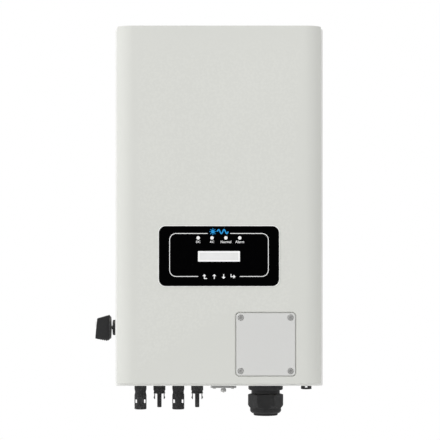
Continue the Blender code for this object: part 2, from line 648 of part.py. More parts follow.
def pv_connectors():
    """Two sockets and two plugs through the bottom wall; the plugs' latch arms are pieces of their own."""
    body = PV_DIAMETER / 2
    shank = PV_SHANK / 2
    top = HOUSING_WALL + 0.009
    for number, x in enumerate((X_PV[0], X_PV[2]), start=1):
        place = (x, Y_PORTS, Z_BOTTOM)
        profile = [(0, top), (shank, top), (shank, -GAP), (body, -GAP),
                   (body, -0.0095), (body - 0.0009, -0.0105),
                   (body - 0.0009, -0.0140), (body, -0.0150), (body, -0.0385), (body - 0.001, -0.0395),
                   (0, -0.0395)]
        socket = part(f"pv_socket_{number}", turned(profile, place, steps=24), BLACK)
        cut(socket, rod(PV_MOUTH, (x, Y_PORTS, Z_BOTTOM - 0.045), (x, Y_PORTS, Z_BOTTOM - 0.0165), 20))
        cut(socket, rod(0.0046, (x, Y_PORTS, Z_BOTTOM - 0.018), (x, Y_PORTS, Z_BOTTOM + top + 0.001), 12))
        for side in (-1, 1):
            window = centred((0.0028, 0.03, 0.0066), (x + side * 0.0068, Y_PORTS, Z_BOTTOM - 0.0268))
            cut(socket, window)
        pin = [(0, top + 0.002), (0.002, top + 0.002), (0.002, -0.0245), (0.0012, -0.0265), (0, -0.0265)]
        part(f"pv_pin_{number}", turned(pin, place, steps=12), COPPER)
    arm_number = 0
    for number, x in enumerate((X_PV[1], X_PV[3]), start=1):
        place = (x, Y_PORTS, Z_BOTTOM)
        profile = [(0, top), (shank, top), (shank, -GAP), (body, -GAP),
                   (body, -0.0090), (body - 0.0009, -0.0098),
                   (body - 0.0009, -0.0125), (body, -0.0133), (body, -0.0141), (0.0050, -0.0141),
                   (0.0050, -0.0165), (0.0035, -0.0180), (0.0035, -0.0356), (0.0028, -0.0363), (0, -0.0363)]
        plug = part(f"pv_plug_{number}", turned(profile, place, steps=24), BLACK)
        cut(plug, rod(0.004, (x, Y_PORTS, Z_BOTTOM - 0.040), (x, Y_PORTS, Z_BOTTOM + top + 0.001), 12))
        for side in (-1, 1):
            arm_number += 1
            inner = 0.0069
            outer = inner + 0.0014
            outline = [(inner, 0.0), (outer, 0.0), (outer, -0.0045), (outer + 0.0010, -0.0055),
                       (outer + 0.0010, -0.0063), (outer - 0.0004, -0.0090), (inner, -0.0090)]
            drawn = [(side * (across - inner), height) for across, height in outline]
            arm = extruded(drawn[::side], 0.0040, (x + side * inner, Y_PORTS, Z_BOTTOM - 0.0144), "Y")
            part(f"latch_arm_{arm_number}", arm, BLACK)


def communication_port():
    """Small plate on the underside with two screws and a capped aerial jack."""
    face = Z_BOTTOM - GAP - COMM_HEIGHT
    low = (X_COMM - COMM_WIDTH / 2, Y_PORTS - COMM_LENGTH / 2, face)
    high = (X_COMM + COMM_WIDTH / 2, Y_PORTS + COMM_LENGTH / 2, Z_BOTTOM - GAP)
    plate = part("comm_plate", block(low, high, 0.003, "Z", 3), ZINC)
    cut(plate, rod(0.0066, (X_COMM, Y_PORTS, face - 0.01), (X_COMM, Y_PORTS, Z_BOTTOM + 0.01), 16))
    for number, x in enumerate(comm_screw_places(), start=1):
        cut(plate, rod(0.0036, (x, Y_PORTS, face - 0.01), (x, Y_PORTS, Z_BOTTOM + 0.01), 12))
        profile = [(0, 0.009), (0.0015, 0.009), (0.0015, -GAP), (0.0027, -GAP), (0.0027, -0.0016),
                   (0.0018, -0.0026), (0, -0.0026)]
        part(f"comm_plate_screw_{number}", turned(profile, (x, Y_PORTS, face), steps=16), STEEL)
    jack = [(0, 0.008), (0.003, 0.008), (0.003, -GAP), (0.0035, -GAP), (0.0035, -0.0026),
            (0.0031, -0.0030), (0.0031, -0.0060), (0, -0.0060)]
    part("antenna_jack", turned(jack, (X_COMM, Y_PORTS, face), steps=20), BRASS)
    rim = -0.0029
    cap = [(0.0044, rim), (0.0044, -0.0066), (0.0036, -0.0072), (0.0016, -0.0074), (0.0014, -0.0084),
           (0, -0.0084), (0, -0.0063), (0.0035, -0.0063), (0.0035, rim)]
    closed_cap = turned(cap + [cap[0]], (X_COMM, Y_PORTS, face), steps=20)
    part("antenna_cap", closed_cap, BRASS)


def cable_gland():
    """Large gland: body with its thread, lock nut inside, domed nut and rubber insert outside."""
    place = (X_GLAND, Y_PORTS, Z_BOTTOM)
    thread = GLAND_THREAD / 2
    male = 0.0208
    profile = [(thread, 0.014), (thread, -GAP), (0.0277, -GAP), (0.0277, -0.0068), (0.0262, -0.0082),
               (0.02285, -0.0082), (0.02285, -0.0143), (male, -0.0149), (male, -0.0320),
               (GLAND_BORE / 2, -0.0320), (GLAND_BORE / 2, 0.014)]
    part("gland_body", turned(profile, place, steps=32, closed=True), BLACK)

    inside = Z_INSIDE + GAP
    locknut = rod(0.052, (X_GLAND, Y_PORTS, inside), (X_GLAND, Y_PORTS, inside + 0.006), 6)
    locknut = part("gland_locknut", locknut, BLACK)
    low = (X_GLAND, Y_PORTS, inside - 0.01)
    hole = rod(GLAND_THREAD + 2 * GAP, low, (X_GLAND, Y_PORTS, inside + 0.02), 32)
    cut(locknut, hole)

    corner = NUT_CORNERS / 2
    flat = corner * math.cos(math.pi / 6)
    top = -0.0149
    low = -0.0369
    female = male + RUNNING
    seat = 0.0198 + RUNNING
    hexagon = rod(NUT_CORNERS, (0, 0, low - 0.010), (0, 0, top), 6)
    hexagon.data.transform(Matrix.Rotation(math.pi / 6, 4, "Z"))
    hexagon.location = (X_GLAND, Y_PORTS, Z_BOTTOM + (low - 0.010 + top) / 2)
    nut = part("gland_nut", hexagon, BLACK)
    chamfer = 0.0022
    dome = flat - 0.0002
    shape = [(flat + 0.0002, top + 0.0005), (corner + 0.001, top - chamfer), (corner + 0.001, low + 0.0048),
             (dome, low), (0.0246, low - 0.0006), (0.0249, low - 0.0046), (0.0234, low - 0.0072),
             (0.0212, low - 0.0086), (0.001, low - 0.0086), (0.001, top + 0.0005)]
    combine(nut, [turned(shape, place, steps=32, closed=True)], "INTERSECT")
    cut(nut, rod(2 * female, (X_GLAND, Y_PORTS, Z_BOTTOM - 0.0335), (X_GLAND, Y_PORTS, Z_BOTTOM), 32))
    cut(nut, rod(2 * seat, (X_GLAND, Y_PORTS, Z_BOTTOM - 0.06), (X_GLAND, Y_PORTS, Z_BOTTOM), 32))

    insert = [(0.0198, -0.0325), (0.0198, -0.0480), (0.0188, -0.0490), (GLAND_CABLE / 2, -0.0490),
              (GLAND_CABLE / 2, -0.0325)]
    part("gland_insert", turned(insert, place, steps=32, closed=True), RUBBER)


def breather_vent():
    """Round breather with windows through its cap."""
    outer = VENT_DIAMETER / 2
    shank = VENT_SHANK / 2
    profile = [(0, 0.009), (shank, 0.009), (shank, -GAP), (outer, -GAP),
               (outer, -0.0062), (outer - 0.001, -0.0072),
               (0, -0.0072)]
    vent = part("vent_valve", turned(profile, (X_VENT, Y_PORTS, Z_BOTTOM), steps=24), BLACK)
    middle = (X_VENT, Y_PORTS, Z_BOTTOM - 0.0037)
    cut(vent, centred((0.0046, 0.03, 0.0033), middle), centred((0.03, 0.0046, 0.0033), middle))


def power_parts():
    """Boards and power components in the housing and the cover."""
    rail = Y_INSIDE - GAP
    low_z = Z_BOTTOM + 0.135
    high_z = Z_TOP - 0.020
    half = WIDTH / 2 - 0.022
    board_back = rail - 0.018
    board = part("power_board", block((-half, board_back - 0.002, low_z), (half, board_back, high_z)), BOARD)
    for x in (-half + 0.010, half - 0.010):
        for z in (low_z + 0.010, high_z - 0.010):
            fuse(board, rod(0.008, (x, board_back - 0.0005, z), (x, rail, z), 8))
    module_z = low_z + 0.030
    part("power_module", block((-0.060, rail - 0.012, module_z), (0.060, rail, module_z + 0.080)), CASE)

    face = board_back - 0.002 - GAP
    bank_z = high_z - 0.075
    bank = part("capacitor_bank", centred((0.126, 0.004, 0.086), (0, face - 0.002, bank_z)), CASE)
    for column in (-1, 0, 1):
        for row in (-0.5, 0.5):
            x = column * 0.040
            z = bank_z + row * 0.040
            fuse(bank, rod(0.035, (x, face - 0.003, z), (x, face - 0.045, z), 16))

    for name, side in (("boost_inductors", -1), ("filter_inductors", 1)):
        coil_z = low_z + 0.150
        centre = (side * 0.080, face - 0.024, coil_z)
        coils = part(name, centred((0.090, 0.048, 0.080), centre, 0.006, "Y", 2), CASE)
        for shift in (-0.022, 0.022):
            x = side * 0.080 + shift
            fuse(coils, rod(0.030, (x, face - 0.047, coil_z), (x, face - 0.053, coil_z), 16))

    control_back = face - 0.020
    low = (-0.070, control_back - 0.0016, low_z + 0.006)
    high = (0.070, control_back, low_z + 0.096)
    control = part("control_board", block(low, high), BOARD)
    for x in (-0.062, 0.062):
        for z in (low[2] + 0.008, high[2] - 0.008):
            fuse(control, rod(0.006, (x, control_back - 0.0005, z), (x, face, z), 8))
    plug = block((-0.020, control_back - 0.006, low[2] + 0.02), (0.020, control_back - 0.001, low[2] + 0.05))
    fuse(control, plug)


wall_bracket()
hanger_bar()
heat_sink()
rear_housing()
housing_seal()
front_cover()
cover_screws()
display()
wiring_cover()
dc_switch()
pv_connectors()
communication_port()
cable_gland()
breather_vent()
power_parts()
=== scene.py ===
"""Looks of the wall-hung string inverter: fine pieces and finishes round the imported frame."""
import json
import math
from contextlib import contextmanager

import bmesh
import bpy
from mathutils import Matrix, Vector

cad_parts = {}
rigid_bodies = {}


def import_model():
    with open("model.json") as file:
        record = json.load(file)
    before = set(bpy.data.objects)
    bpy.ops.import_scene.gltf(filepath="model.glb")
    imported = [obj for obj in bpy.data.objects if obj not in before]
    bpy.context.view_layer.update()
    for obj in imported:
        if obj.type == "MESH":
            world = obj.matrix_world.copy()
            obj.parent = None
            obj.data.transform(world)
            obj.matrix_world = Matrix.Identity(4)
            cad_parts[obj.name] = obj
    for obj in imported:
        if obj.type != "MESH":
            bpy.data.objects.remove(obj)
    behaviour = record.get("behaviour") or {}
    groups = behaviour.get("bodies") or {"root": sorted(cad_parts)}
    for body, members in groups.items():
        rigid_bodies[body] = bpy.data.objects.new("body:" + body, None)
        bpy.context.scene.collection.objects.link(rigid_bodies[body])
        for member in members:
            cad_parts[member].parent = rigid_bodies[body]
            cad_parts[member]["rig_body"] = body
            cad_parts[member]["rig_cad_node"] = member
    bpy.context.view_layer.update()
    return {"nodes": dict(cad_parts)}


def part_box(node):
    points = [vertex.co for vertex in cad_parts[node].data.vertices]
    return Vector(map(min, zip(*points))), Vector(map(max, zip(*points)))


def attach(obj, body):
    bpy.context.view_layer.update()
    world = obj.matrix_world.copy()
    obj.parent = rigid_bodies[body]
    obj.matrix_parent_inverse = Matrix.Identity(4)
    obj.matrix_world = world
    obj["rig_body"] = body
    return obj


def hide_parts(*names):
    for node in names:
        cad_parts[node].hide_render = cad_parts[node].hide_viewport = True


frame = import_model()
NODES = frame["nodes"]

MM = 0.001
CLEAR = 0.3 * MM          # gap between pieces that touch


def middle(node):
    """The centre of a CAD node's box."""
    low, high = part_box(node)
    return (Vector(low) + Vector(high)) / 2


def scaled(points):
    """Points given in millimetres, in metres."""
    return [(first * MM, second * MM) for first, second in points]


# Modelling by hand: each helper is one thing done in the viewport.

def only(piece):
    """Leave one object selected and active."""
    bpy.ops.object.select_all(action="DESELECT")
    piece.select_set(True)
    bpy.context.view_layer.objects.active = piece


@contextmanager
def editing(piece):
    """Edit mode on one object, with nothing selected in it."""
    only(piece)
    bpy.ops.object.mode_set(mode="EDIT")
    bpy.ops.mesh.select_mode(type="VERT")
    bpy.ops.mesh.select_all(action="DESELECT")
    yield
    bpy.ops.object.mode_set(mode="OBJECT")


def named(name):
    """Name the object that an operator has just added."""
    piece = bpy.context.active_object
    piece.name = name
    piece.data.name = name
    return piece


def settle(piece):
    """Put a piece's place, turn and scale into its mesh."""
    only(piece)
    bpy.ops.object.transform_apply(location=True, rotation=True, scale=True)
    return piece


def pick(piece, kind, test):
    """Select the faces or edges that pass a test, while in edit mode."""
    bpy.ops.mesh.select_mode(type=kind)
    bpy.ops.mesh.select_all(action="DESELECT")
    mesh = bmesh.from_edit_mesh(piece.data)
    for element in mesh.faces if kind == "FACE" else mesh.edges:
        if test(element):
            element.select_set(True)
    bmesh.update_edit_mesh(piece.data)


def weld(reach):
    """Merge the points of the whole mesh that lie within a reach, while in edit mode."""
    bpy.ops.mesh.select_all(action="SELECT")
    bpy.ops.mesh.remove_doubles(threshold=reach)


def bevel(piece, test, radius, segments):
    """Round the edges that pass a test, while in edit mode."""
    pick(piece, "EDGE", test)
    bpy.ops.mesh.bevel(offset=radius, segments=segments, profile=0.5, affect="EDGES")


def modify(piece, kind, **settings):
    """Add a modifier, set it and apply it."""
    only(piece)
    modifier = piece.modifiers.new(kind.lower(), kind)
    for name, value in settings.items():
        setattr(modifier, name, value)
    bpy.ops.object.modifier_apply(modifier=modifier.name)
    return piece


def soften(piece, width, segments=2, angle=35):
    """Round every edge that is sharper than an angle, then shade the piece smooth."""
    modify(
        piece, "BEVEL", width=width, segments=segments, limit_method="ANGLE",
        angle_limit=math.radians(angle), miter_outer="MITER_ARC",
    )
    return smooth(piece, angle)


def smooth(piece, angle=35):
    """Shade a piece smooth, apart from its sharp edges, and keep its flat faces flat."""
    only(piece)
    bpy.ops.object.shade_smooth_by_angle(angle=math.radians(angle))
    return modify(piece, "WEIGHTED_NORMAL", keep_sharp=True)


def carve(piece, *tools):
    """Cut tools out of a piece and remove them."""
    for tool in tools:
        modify(piece, "BOOLEAN", operation="DIFFERENCE", object=tool)
        bpy.data.objects.remove(tool)
    return piece


def fuse(piece, *others):
    """Unite other solids with a piece and remove them."""
    for other in others:
        modify(piece, "BOOLEAN", operation="UNION", object=other)
        bpy.data.objects.remove(other)
    return piece


def slab(name, low, high):
    """A box between two corners."""
    low = Vector(low)
    high = Vector(high)
    bpy.ops.object.select_all(action="DESELECT")
    bpy.ops.mesh.primitive_cube_add(size=1, location=(low + high) / 2)
    piece = named(name)
    piece.scale = high - low
    return settle(piece)


def runs_along(axis):
    """A test for edges that lie along an axis, 0 for X to 2 for Z."""
    def test(edge):
        run = edge.verts[0].co - edge.verts[1].co
        return abs(run[axis]) > 0.99 * run.length
    return test


def plate(name, low, high, radius, along, segments=8):
    """A box whose edges along one axis are rounded."""
    piece = slab(name, low, high)
    with editing(piece):
        bevel(piece, runs_along(along), radius, segments)
    return piece


def around(centre, size):
    """The two corners of a box of a size round a centre."""
    half = Vector(size) / 2
    return Vector(centre) - half, Vector(centre) + half


def pin(name, radius, start, end, sides=32):
    """A capped cylinder between two points."""
    start = Vector(start)
    run = Vector(end) - start
    bpy.ops.object.select_all(action="DESELECT")
    bpy.ops.mesh.primitive_cylinder_add(vertices=sides, radius=radius, depth=run.length)
    piece = named(name)
    turn(piece, run, start + run / 2)
    return piece


def drill(piece, radius, place, axis, levels, sides=32):
    """Cut a round hole through a place, along an axis and between two levels on it."""
    ends = [Vector(place), Vector(place)]
    for end, level in zip(ends, levels):
        end[axis] = level
    return carve(piece, pin("drill", radius, *ends, sides=sides))


def turn(piece, towards, place):
    """Point a piece's own Z along a direction, put it in place and settle it."""
    piece.rotation_mode = "QUATERNION"
    piece.rotation_quaternion = Vector((0, 0, 1)).rotation_difference(Vector(towards).normalized())
    piece.location = place
    return settle(piece)


def lathe(name, profile, place, towards=(0, 0, 1), steps=48, ring=False):
    """Draw a profile of (radius, height) vertex by vertex and spin it about its axis."""
    bpy.ops.object.select_all(action="DESELECT")
    bpy.ops.mesh.primitive_plane_add(size=MM)
    piece = named(name)
    points = list(profile) + ([profile[0]] if ring else [])
    with editing(piece):
        bpy.ops.mesh.select_all(action="SELECT")
        bpy.ops.mesh.merge(type="CENTER")
        bpy.ops.transform.translate(value=(points[0][0], 0, points[0][1]))
        for (radius, height), (next_radius, next_height) in zip(points, points[1:]):
            step = (next_radius - radius, 0, next_height - height)
            bpy.ops.mesh.extrude_vertices_move(TRANSFORM_OT_translate={"value": step})
        bpy.ops.mesh.select_all(action="SELECT")
        bpy.ops.mesh.spin(steps=steps, angle=2 * math.pi, center=(0, 0, 0), axis=(0, 0, 1))
        weld(0.01 * MM)
        bpy.ops.mesh.normals_make_consistent(inside=False)
    return turn(piece, towards, place)


def drawn(name, outlines, thickness, place, along=1):
    """Flat outlines in a plane across Y, or across X where along is 0, given a thickness."""
    curve = bpy.data.curves.new(name, "CURVE")
    curve.dimensions = "2D"
    curve.fill_mode = "BOTH"
    curve.extrude = thickness / 2
    for outline in outlines:
        spline = curve.splines.new("POLY")
        spline.points.add(len(outline) - 1)
        for point, (first, second) in zip(spline.points, outline):
            point.co = (first, second, 0, 1)
        spline.use_cyclic_u = True
    piece = bpy.data.objects.new(name, curve)
    bpy.context.collection.objects.link(piece)
    only(piece)
    bpy.ops.object.convert(target="MESH")
    piece = named(name)
    piece.rotation_euler = (math.pi / 2, 0, 0 if along == 1 else math.pi / 2)
    piece.location = place
    settle(piece)
    with editing(piece):
        weld(0.002 * MM)
        bpy.ops.mesh.normals_make_consistent(inside=False)
    return piece


def arc(centre, radius, start, end, steps):
    """Points along an arc, its angles in degrees."""
    angles = [math.radians(start + (end - start) * step / steps) for step in range(steps + 1)]
    return [(centre[0] + radius * math.cos(a), centre[1] + radius * math.sin(a)) for a in angles]


def polished(node, width, segments=2, angle=30):
    """A merged copy of a CAD node with its edges softened."""
    only(NODES[node])
    bpy.ops.object.duplicate()
    piece = named(node + "_fine")
    piece.parent = None
    piece.data.materials.clear()
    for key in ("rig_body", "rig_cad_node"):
        del piece[key]
    with editing(piece):
        weld(0.005 * MM)
        bpy.ops.mesh.dissolve_limited(angle_limit=math.radians(2))
    return soften(piece, width, segments, angle)


def fit(piece, body, slot, finish, *replaced):
    """Give a finished piece its body, its finish and the CAD nodes that it stands for."""
    piece.data.materials.clear()
    piece.data.materials.append(finish)
    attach(piece, body)
    if replaced:
        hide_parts(*replaced)
    return piece


# Finishes. Effects that several finishes share are node groups; a finish places them with its own values.

def add(tree, kind, settings=None, **inputs):
    """A node with its settings and its inputs, each a plain value or another node's output."""
    made = tree.nodes.new("ShaderNode" + kind)
    for name, value in (settings or {}).items():
        setattr(made, name, value)
    for name, value in inputs.items():
        connect(tree, made.inputs[name.replace("_", " ")], value)
    return made


def connect(tree, socket, value):
    """Set a socket to a plain value, or link it to an output."""
    if isinstance(value, bpy.types.NodeSocket):
        tree.links.new(value, socket)
    else:
        socket.default_value = value


def maths(tree, operation, first, second=0.0):
    """The result of one sum."""
    made = add(tree, "Math", {"operation": operation})
    connect(tree, made.inputs[0], first)
    connect(tree, made.inputs[1], second)
    return made.outputs[0]


def times(tree, first, second):
    """One value multiplied by another."""
    return maths(tree, "MULTIPLY", first, second)


def plus(tree, first, second):
    """One value added to another."""
    return maths(tree, "ADD", first, second)


def colours(tree, factor, first, second):
    """A mix of two colours."""
    made = add(tree, "Mix", {"data_type": "RGBA"})
    connect(tree, made.inputs[0], factor)
    connect(tree, made.inputs[6], first)
    connect(tree, made.inputs[7], second)
    return made.outputs[2]


def shade(colour, factor=1.0):
    """A colour made darker or lighter, with the fourth value that a socket takes."""
    return tuple(min(1, value * factor) for value in colour) + (1,)


def own_place(tree):
    """Each point's place in the object's own frame."""
    return add(tree, "TexCoord").outputs["Object"]


def between(tree, value, low, high, out_low=0.0, out_high=1.0):
    """A value taken from one range to another and kept inside it."""
    made = add(tree, "MapRange", {"interpolation_type": "SMOOTHSTEP"})
    connect(tree, made.inputs["Value"], value)
    limits = {"From Min": low, "From Max": high, "To Min": out_low, "To Max": out_high}
    for name, limit in limits.items():
        connect(tree, made.inputs[name], limit)
    return made.outputs["Result"]


def group(name, inputs, outputs):
    """An empty node group with its sockets, and its input and output nodes."""
    tree = bpy.data.node_groups.new(name, "ShaderNodeTree")
    for socket, kind, value in inputs:
        made = tree.interface.new_socket(name=socket, in_out="INPUT", socket_type="NodeSocket" + kind)
        if value is not None:
            made.default_value = value
    for socket, kind in outputs:
        tree.interface.new_socket(name=socket, in_out="OUTPUT", socket_type="NodeSocket" + kind)
    return tree, tree.nodes.new("NodeGroupInput").outputs, tree.nodes.new("NodeGroupOutput").inputs


def use(tree, effect, **inputs):
    """Place a node group with its inputs, and give back its outputs."""
    made = tree.nodes.new("ShaderNodeGroup")
    made.node_tree = effect
    for name, value in inputs.items():
        connect(tree, made.inputs[name.replace("_", " ")], value)
    return made.outputs


def build_speckle():
    """Fine grain on a surface: its bump, a slow drift of tone and a matching change of gloss."""
    tree, given, result = group(
        "fine_grain",
        [("Grain", "Float", 2500.0), ("Depth", "Float", 0.02), ("Drift", "Float", 9.0),
         ("Gloss Low", "Float", 0.4), ("Gloss High", "Float", 0.5)],
        [("Normal", "Vector"), ("Roughness", "Float"), ("Tone", "Float")],
    )
    place = own_place(tree)
    fine = add(tree, "TexNoise", Vector=place, Scale=given["Grain"], Detail=2.0, Roughness=0.6)
    slow = add(tree, "TexNoise", Vector=place, Scale=given["Drift"], Detail=3.0, Roughness=0.55)
    relief = add(tree, "Bump", Height=fine.outputs[0], Strength=given["Depth"], Distance=0.2 * MM)
    mixed = plus(tree, times(tree, fine.outputs[0], 0.35), times(tree, slow.outputs[0], 0.65))
    gloss = between(tree, mixed, 0.3, 0.7, given["Gloss Low"], given["Gloss High"])
    tree.links.new(relief.outputs[0], result["Normal"])
    tree.links.new(gloss, result["Roughness"])
    tree.links.new(between(tree, slow.outputs[0], 0.3, 0.7), result["Tone"])
    return tree


def build_wear():
    """Mask of the edges that hands and tools rub, broken up by noise."""
    tree, given, result = group(
        "edge_rub", [("Reach", "Float", 0.06), ("Scale", "Float", 260.0)], [("Mask", "Float")],
    )
    point = add(tree, "NewGeometry").outputs["Pointiness"]
    patches = add(tree, "TexNoise", Vector=own_place(tree), Scale=given["Scale"], Detail=4.0).outputs[0]
    edge = between(tree, point, 0.51, plus(tree, 0.51, given["Reach"]))
    tree.links.new(times(tree, edge, between(tree, patches, 0.42, 0.62)), result["Mask"])
    return tree


def build_dust():
    """Mask of fine dust that has settled on what faces up."""
    tree, given, result = group("settled_dust", [("Amount", "Float", 0.4)], [("Mask", "Float")])
    split = add(tree, "SeparateXYZ", Vector=add(tree, "NewGeometry").outputs["Normal"])
    clumps = add(tree, "TexNoise", Vector=own_place(tree), Scale=75.0, Detail=6.0, Roughness=0.65)
    up = between(tree, split.outputs["Z"], 0.25, 1.0)
    mask = times(tree, up, between(tree, clumps.outputs[0], 0.3, 0.75))
    tree.links.new(times(tree, mask, given["Amount"]), result["Mask"])
    return tree


def build_drawn_lines():
    """Lines that a die, a brush or a roller leaves along one direction, set by the stretch."""
    tree, given, result = group(
        "drawn_lines",
        [("Stretch", "Vector", (900.0, 900.0, 6.0)), ("Depth", "Float", 0.1)],
        [("Normal", "Vector"), ("Lines", "Float")],
    )
    stretched = add(tree, "VectorMath", {"operation": "MULTIPLY"})
    tree.links.new(own_place(tree), stretched.inputs[0])
    tree.links.new(given["Stretch"], stretched.inputs[1])
    lines = add(tree, "TexNoise", Vector=stretched.outputs[0], Scale=1.0, Detail=3.0).outputs[0]
    relief = add(tree, "Bump", Height=lines, Strength=given["Depth"], Distance=0.1 * MM)
    tree.links.new(relief.outputs[0], result["Normal"])
    tree.links.new(between(tree, lines, 0.3, 0.7), result["Lines"])
    return tree


GRAIN = build_speckle()
WEAR = build_wear()
DUST = build_dust()
LINES = build_drawn_lines()
DUST_COLOUR = (0.5, 0.47, 0.42, 1)


def finish(name, **plain):
    """A new finish: its tree and its shader, with the values that are the same all over."""
    material = bpy.data.materials.new(name)
    material.use_nodes = True
    tree = material.node_tree
    shader = tree.nodes["Principled BSDF"]
    for socket, value in plain.items():
        shader.inputs[socket.replace("_", " ")].default_value = value
    return material, tree, shader.inputs


def grained(tree, grain, depth, drift, rough):
    """The grain group with its scale, its depth, its drift of tone and its range of roughness."""
    return use(tree, GRAIN, Grain=grain, Depth=depth, Drift=drift, Gloss_Low=rough[0], Gloss_High=rough[1])


def surface(tree, shader, colour, rough, normal):
    """Link a shader's colour, roughness and normal."""
    for socket, value in (("Base Color", colour), ("Roughness", rough), ("Normal", normal)):
        tree.links.new(value, shader[socket])


def dusted(tree, shader, colour, rough, normal, dust, matt, cover=1.0):
    """Link a shader with dust over its colour, the dust making it rougher as well."""
    mask = use(tree, DUST, Amount=dust)["Mask"]
    shown = colours(tree, times(tree, mask, cover), colour, DUST_COLOUR)
    surface(tree, shader, shown, plus(tree, rough, times(tree, mask, matt)), normal)


def coated_metal(name, light, dark, rough=(0.42, 0.5), grain=1500.0, depth=0.05, dust=0.25):
    """Powder coat: fine orange peel, a slow drift of tone, rubbed edges and dust on top."""
    material, tree, shader = finish(name, IOR=1.45, Specular_IOR_Level=0.3)
    skin = grained(tree, grain, depth, 7.0, rough)
    rub = times(tree, use(tree, WEAR, Reach=0.12)["Mask"], 0.25)
    tone = colours(tree, skin["Tone"], shade(dark), shade(light))
    lit = colours(tree, rub, tone, shade(light, 1.12))
    dusted(tree, shader, lit, skin["Roughness"], skin["Normal"], dust, 0.3)
    return material


def moulded(name, colour, worn, rough=(0.45, 0.6), grain=3200.0, depth=0.12, dust=0.3):
    """Moulded plastic: spark-eroded grain, paler rubbed edges and dust on top."""
    material, tree, shader = finish(name, IOR=1.5, Specular_IOR_Level=0.22)
    skin = grained(tree, grain, depth, 60.0, rough)
    rub = times(tree, use(tree, WEAR, Reach=0.1)["Mask"], 0.6)
    tone = colours(tree, skin["Tone"], shade(colour, 0.92), shade(colour))
    rubbed = colours(tree, rub, tone, shade(worn))
    dusted(tree, shader, rubbed, skin["Roughness"], skin["Normal"], dust, 0.25)
    return material


def bare_metal(name, bright, dull, stretch, rough=(0.28, 0.42), depth=0.15, dust=0.2):
    """Bare metal with lines along one direction, dulled in patches."""
    material, tree, shader = finish(name, Metallic=1.0)
    lines = use(tree, LINES, Stretch=stretch, Depth=depth)
    skin = grained(tree, 900.0, 0.02, 30.0, rough)
    mask = plus(tree, times(tree, lines["Lines"], 0.4), times(tree, skin["Tone"], 0.6))
    tone = colours(tree, mask, shade(dull), shade(bright))
    dusted(tree, shader, tone, skin["Roughness"], lines["Normal"], dust, 0.35, 0.6)
    return material


def zinc_plated(name):
    """Zinc plated sheet: crystal patches of slightly different greys."""
    material, tree, shader = finish(name, Metallic=1.0)
    cells = add(tree, "TexVoronoi", Vector=own_place(tree), Scale=150.0)
    split = add(tree, "SeparateColor", Color=cells.outputs["Color"])
    skin = grained(tree, 1200.0, 0.03, 20.0, (0.3, 0.45))
    mask = plus(tree, times(tree, split.outputs[0], 0.35), times(tree, skin["Tone"], 0.5))
    tone = colours(tree, mask, (0.37, 0.37, 0.37, 1), (0.54, 0.54, 0.54, 1))
    surface(tree, shader, tone, skin["Roughness"], skin["Normal"])
    return material


def circuit_board(name):
    """Green solder mask over copper tracks, with tinned pads."""
    material, tree, shader = finish(name, IOR=1.5)
    place = own_place(tree)
    tracks = add(tree, "TexBrick", Vector=place, Scale=55.0, Mortar_Size=0.06, Mortar_Smooth=0.2)
    pads = add(tree, "TexVoronoi", Vector=place, Scale=260.0, Randomness=0.55).outputs["Distance"]
    skin = grained(tree, 1800.0, 0.03, 25.0, (0.3, 0.42))
    mask = colours(tree, tracks.outputs["Fac"], (0.012, 0.09, 0.035, 1), (0.03, 0.19, 0.07, 1))
    pad = between(tree, pads, 0.16, 0.12)
    tree.links.new(pad, shader["Metallic"])
    surface(tree, shader, colours(tree, pad, mask, (0.6, 0.6, 0.55, 1)), skin["Roughness"], skin["Normal"])
    return material


def printed(name, colour, rough=(0.35, 0.45), level=0.5):
    """Screen print: a flat ink with a faint mesh in it."""
    material, tree, shader = finish(name, IOR=1.45, Specular_IOR_Level=level)
    skin = grained(tree, 6000.0, 0.03, 120.0, rough)
    tone = colours(tree, skin["Tone"], shade(colour, 0.93), shade(colour))
    surface(tree, shader, tone, skin["Roughness"], skin["Normal"])
    return material


def display_glass(name, border, ground):
    """Pane over a display at rest: pale frame, greyer ground with faint character cells, gloss on top."""
    material, tree, shader = finish(name, IOR=1.45, Coat_Weight=0.6, Coat_Roughness=0.04)
    split = add(tree, "SeparateXYZ", Vector=own_place(tree))
    window = middle("lcd_window")
    within = []
    cells = []
    for axis, centre, half, pitch in (("X", window.x, 30.1, 3.6), ("Z", window.z, 5.5, 5.2)):
        away = maths(tree, "ABSOLUTE", maths(tree, "SUBTRACT", split.outputs[axis], centre))
        within.append(between(tree, away, (half + 0.3) * MM, half * MM))
        step = maths(tree, "FRACT", maths(tree, "DIVIDE", split.outputs[axis], pitch * MM))
        cells.append(between(tree, maths(tree, "ABSOLUTE", maths(tree, "SUBTRACT", step, 0.5)), 0.46, 0.42))
    faint = times(tree, times(tree, *cells), 0.05)
    skin = grained(tree, 4000.0, 0.01, 40.0, (0.3, 0.36))
    tinted = colours(tree, faint, shade(ground), (0.6, 0.62, 0.58, 1))
    shown = colours(tree, times(tree, *within), shade(border), tinted)
    tone = colours(tree, times(tree, skin["Tone"], 0.3), shown, shade(border, 0.965))
    surface(tree, shader, tone, skin["Roughness"], skin["Normal"])
    return material


